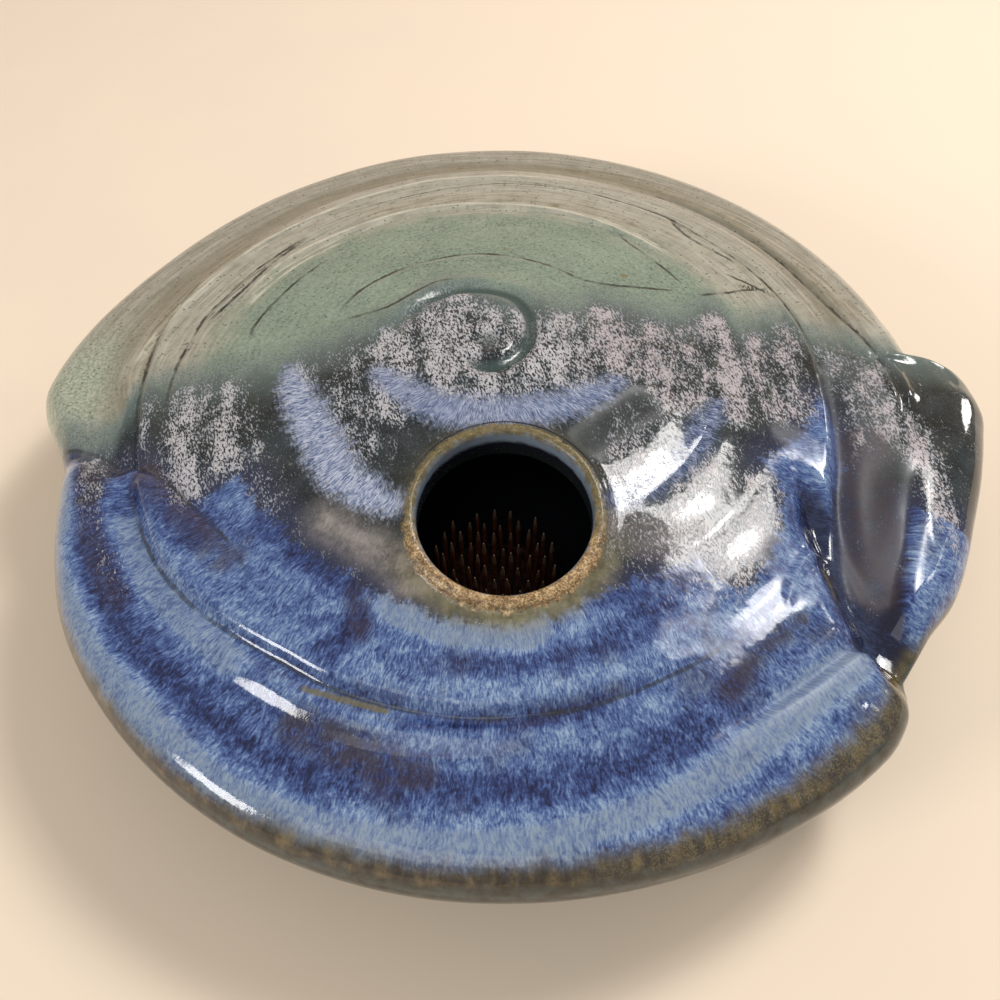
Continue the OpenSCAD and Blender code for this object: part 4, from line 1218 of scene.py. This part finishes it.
def glazed_lip(b):
    """The same glaze on the lip, which turns pale blue just inside it; painted shade makes it dark
    down the bore.
    """
    sockets = glazed(b)
    down = b.total(b.field("bore"), b.product(b.noise(b.millimetres(), 2.0, 3), 1.4))
    # Painted shade: the bore turns ink and then near-black further down, where little light reaches
    wall = b.blend(b.step(down, 2.8, 4.6), MIST_GREY, INK)
    color = b.blend(b.step(down, 0.9, 1.8), sockets["Base Color"], wall)
    return sockets | {"Base Color": b.blend(b.step(down, 4.0, 7.0), color, NIGHT)}


def bare_clay(b):
    """Bare stoneware of the foot ring: buff clay with iron specks and turning lines."""
    where = b.millimetres()
    clay = b.mottle(where, 5.0, 0.35, 0.65, CLAY, CLAY_DARK, 4)
    lines = b.calc("SINE", b.product(b.put("SeparateXYZ", Vector=where).outputs[2], 9.0))
    return {"Base Color": b.blend(b.use(SPECKS, Where=where, Size=1.3, Share=0.45), clay, CLAY_SPECK),
            "Roughness": b.mottle(where, 0.8, 0.2, 0.8, 0.72, 0.92),
            "Height": b.total(b.product(lines, 0.02), b.product(b.noise(where, 0.5, 4), 0.12))}


def pad_rubber(b):
    """Black rubber pad: dull, with a fine grain and pale dust."""
    where = b.millimetres()
    return {"Base Color": b.mottle(where, 1.2, 0.5, 0.8, RUBBER, DUST, 4),
            "Roughness": b.mottle(where, 2.0, 0.3, 0.7, 0.6, 0.85),
            "Height": b.product(b.noise(where, 0.4, 3), 0.08)}


def cast_metal(b):
    """Cast metal base of the frog: dark, pitted, dulled by water, rusty in places."""
    where = b.millimetres()
    stain = b.mottle(where, 3.0, 0.45, 0.65, 0.0, 1.0, 4, 0.6)
    return {"Base Color": b.blend(stain, IRON, RUST),
            "Metallic": b.calc("SUBTRACT", 0.85, b.product(stain, 0.6)),
            "Roughness": b.mottle(where, 1.0, 0.3, 0.7, 0.42, 0.7),
            "Height": b.product(b.noise(where, 0.6, 4, 0.65), 0.15)}


def pin_brass(b):
    """Brass pins gone reddish brown, bright at their ground points: partly bare brass and partly
    a painted highlight on the tips.
    """
    where = b.millimetres()
    z = b.put("SeparateXYZ", Vector=where).outputs[2]
    z = b.total(z, b.product(b.noise(where, 1.4, 2), 2.0))
    tips = FLOOR_Z + PAD_H + BASE_H + PIN_H
    # The bright tips are partly bare ground brass and partly a painted highlight
    bright = b.step(z, tips - 2.4, tips - 0.2)
    brown = b.mottle(where, 1.0, 0.35, 0.7, BRASS_RED, BRASS_BROWN)
    return {"Base Color": b.blend(bright, brown, BRASS_BRIGHT),
            "Metallic": b.step(bright, 0.0, 1.0, 0.55, 0.9),
            "Roughness": b.mottle(where, 0.6, 0.3, 0.7, 0.28, 0.5),
            "Height": b.product(b.noise(where, 0.35, 3), 0.05)}


def floor_paper(b):
    """Plain pale paper, a little cloudy."""
    cloudy = b.mottle(b.millimetres(), 60.0, 0.3, 0.7, 0.0, 0.12, 2)
    return {"Base Color": b.blend(cloudy, FLOOR_TONE, FLOOR_SHADE),
            "Roughness": 0.85, "Specular IOR Level": 0.2}


def material(name, look, bump=1.0):
    """Material whose look gives what each of the shader's sockets gets; a height in millimetres
    goes through a bump of this strength."""
    mat = bpy.data.materials.new(name)
    mat.use_nodes = True
    b = Board(mat.node_tree)
    shader = next(n for n in mat.node_tree.nodes if n.type == "BSDF_PRINCIPLED")
    sockets = look(b)
    if "Height" in sockets:
        sockets["Normal"] = b.put("Bump", Strength=bump, Distance=MM,
                                  Height=sockets.pop("Height")).outputs[0]
    for socket, value in sockets.items():
        b.feed(shader.inputs[socket], value)
    return mat


def dress(obj, look, body, node):
    """Gives a piece its material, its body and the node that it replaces."""
    obj.data.materials.append(look)
    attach(obj, body)
    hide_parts(node)


dress(glazed_top(), material("dome glaze", glazed), "vessel", "upper_dome")
dress(glazed_bowl(), material("bowl glaze", glazed), "vessel", "lower_bowl")
dress(mouth_lip(), material("lip glaze", glazed_lip), "vessel", "mouth_collar")
dress(foot(), material("bare clay", bare_clay, 0.8), "vessel", "foot_ring")
dress(frog_pad(), material("pad rubber", pad_rubber, 0.5), "kenzan", "kenzan_pad")
dress(frog_base(), material("frog cast metal", cast_metal, 0.7), "kenzan", "kenzan_base")
dress(frog_pins(), material("pin brass", pin_brass, 0.5), "kenzan", "kenzan_pins")


# Studio: a plain pale floor that rises behind, soft lamps, and the camera
SWEEP_AT, SWEEP_R, SWEEP_H, STAGE_W = 900.0, 400.0, 1500.0, 2500.0
# Lamps: name, direction that each shines from, point that it shines at, its distance from this,
# width, height and watts
LAMPS = [("window right", (0.447, 0.370, 0.813), (35, -36, 40), 900, 310, 280, 4.2),
         ("bulb right", (0.447, 0.370, 0.813), (35, -36, 40), 880, 110, 110, 1.2),
         ("window left", (-0.75, -0.45, 0.45), (-50, -88, 32), 900, 240, 260, 3.0),
         ("wall in front", (-0.2, -0.6, 0.77), (0, 0, 30), 1100, 700, 500, 1.3),
         ("lamp right", (0.723, 0.32, 0.613), (62.7, -75.2, 30), 900, 70, 70, 0.18),
         ("lamp low right", (0.722, 0.647, 0.245), (97, -5, 30), 900, 90, 200, 0.7)]
WARM_LIGHT = (1.0, 0.975, 0.94)
# Camera: its place, how far down it looks, its focal length and frame in pixels, and its sensor
EYE, EYE_DOWN = (-2.447, -169.729, 199.290), np.radians(49.5)
FOCAL_PX, FRAME_PX, SENSOR_W = 1082.0, 1000.0, 36.0


def placed(obj):
    """Puts a new object into the scene."""
    bpy.context.scene.collection.objects.link(obj)
    return obj


def sweep():
    """Floor and backdrop in one sheet: flat, then a quarter circle, then upright."""
    turn = np.linspace(0, np.pi / 2, 24)
    y = np.concatenate([[-STAGE_W, SWEEP_AT / 2], SWEEP_AT + SWEEP_R * np.sin(turn),
                        [SWEEP_AT + SWEEP_R]])
    z = np.concatenate([[0, 0], SWEEP_R * (1 - np.cos(turn)), [SWEEP_H]])
    x = np.linspace(-STAGE_W, STAGE_W, 3)
    grid = np.stack(np.broadcast_arrays(x[None, :], y[:, None], z[:, None]), -1)
    k, j = np.meshgrid(np.arange(len(y) - 1), np.arange(2), indexing="ij")
    quads = np.stack([k * 3 + j, k * 3 + j + 1, (k + 1) * 3 + j + 1, (k + 1) * 3 + j], -1)
    obj = build("floor", grid.reshape(-1, 3), quads.reshape(-1, 4))
    obj.data.materials.append(material("floor paper", floor_paper))


def lamp(name, towards, at, distance, width, height, watts):
    """Rectangular lamp that shines at a point, from a direction."""
    data = bpy.data.lights.new(name, "AREA")
    data.shape, data.color = "RECTANGLE", WARM_LIGHT
    data.size, data.size_y = width * MM, height * MM
    data.energy = watts
    obj = placed(bpy.data.objects.new(name, data))
    d = Vector(towards).normalized()
    obj.location = (Vector(at) + d * distance) * MM
    obj.rotation_mode = "QUATERNION"
    obj.rotation_quaternion = d.to_track_quat("Z", "Y")


def room():
    """World: an even grey light, which the camera sees in the floor's own colour."""
    world = bpy.data.worlds.new("room")
    bpy.context.scene.world = world
    world.use_nodes = True
    b = Board(world.node_tree)
    seen = b.put("LightPath").outputs["Is Camera Ray"]
    shade = world.node_tree.nodes["Background"]
    b.feed(shade.inputs["Color"], b.blend(seen, ROOM_LIGHT, FLOOR_TONE))


def camera():
    """Camera at the photograph's angle: above the front edge, looking down and back."""
    data = bpy.data.cameras.new("camera")
    data.sensor_width, data.sensor_fit = SENSOR_W, "HORIZONTAL"
    data.lens = SENSOR_W * FOCAL_PX / FRAME_PX
    data.clip_start, data.clip_end = 0.01, 20.0
    obj = placed(bpy.data.objects.new("camera", data))
    obj.location = Vector(EYE) * MM
    obj.rotation_euler = (np.pi / 2 - EYE_DOWN, 0.0, 0.0)
    bpy.context.scene.camera = obj


sweep()
room()
for values in LAMPS:
    lamp(*values)
camera()
bpy.context.scene.view_settings.view_transform = "Standard"
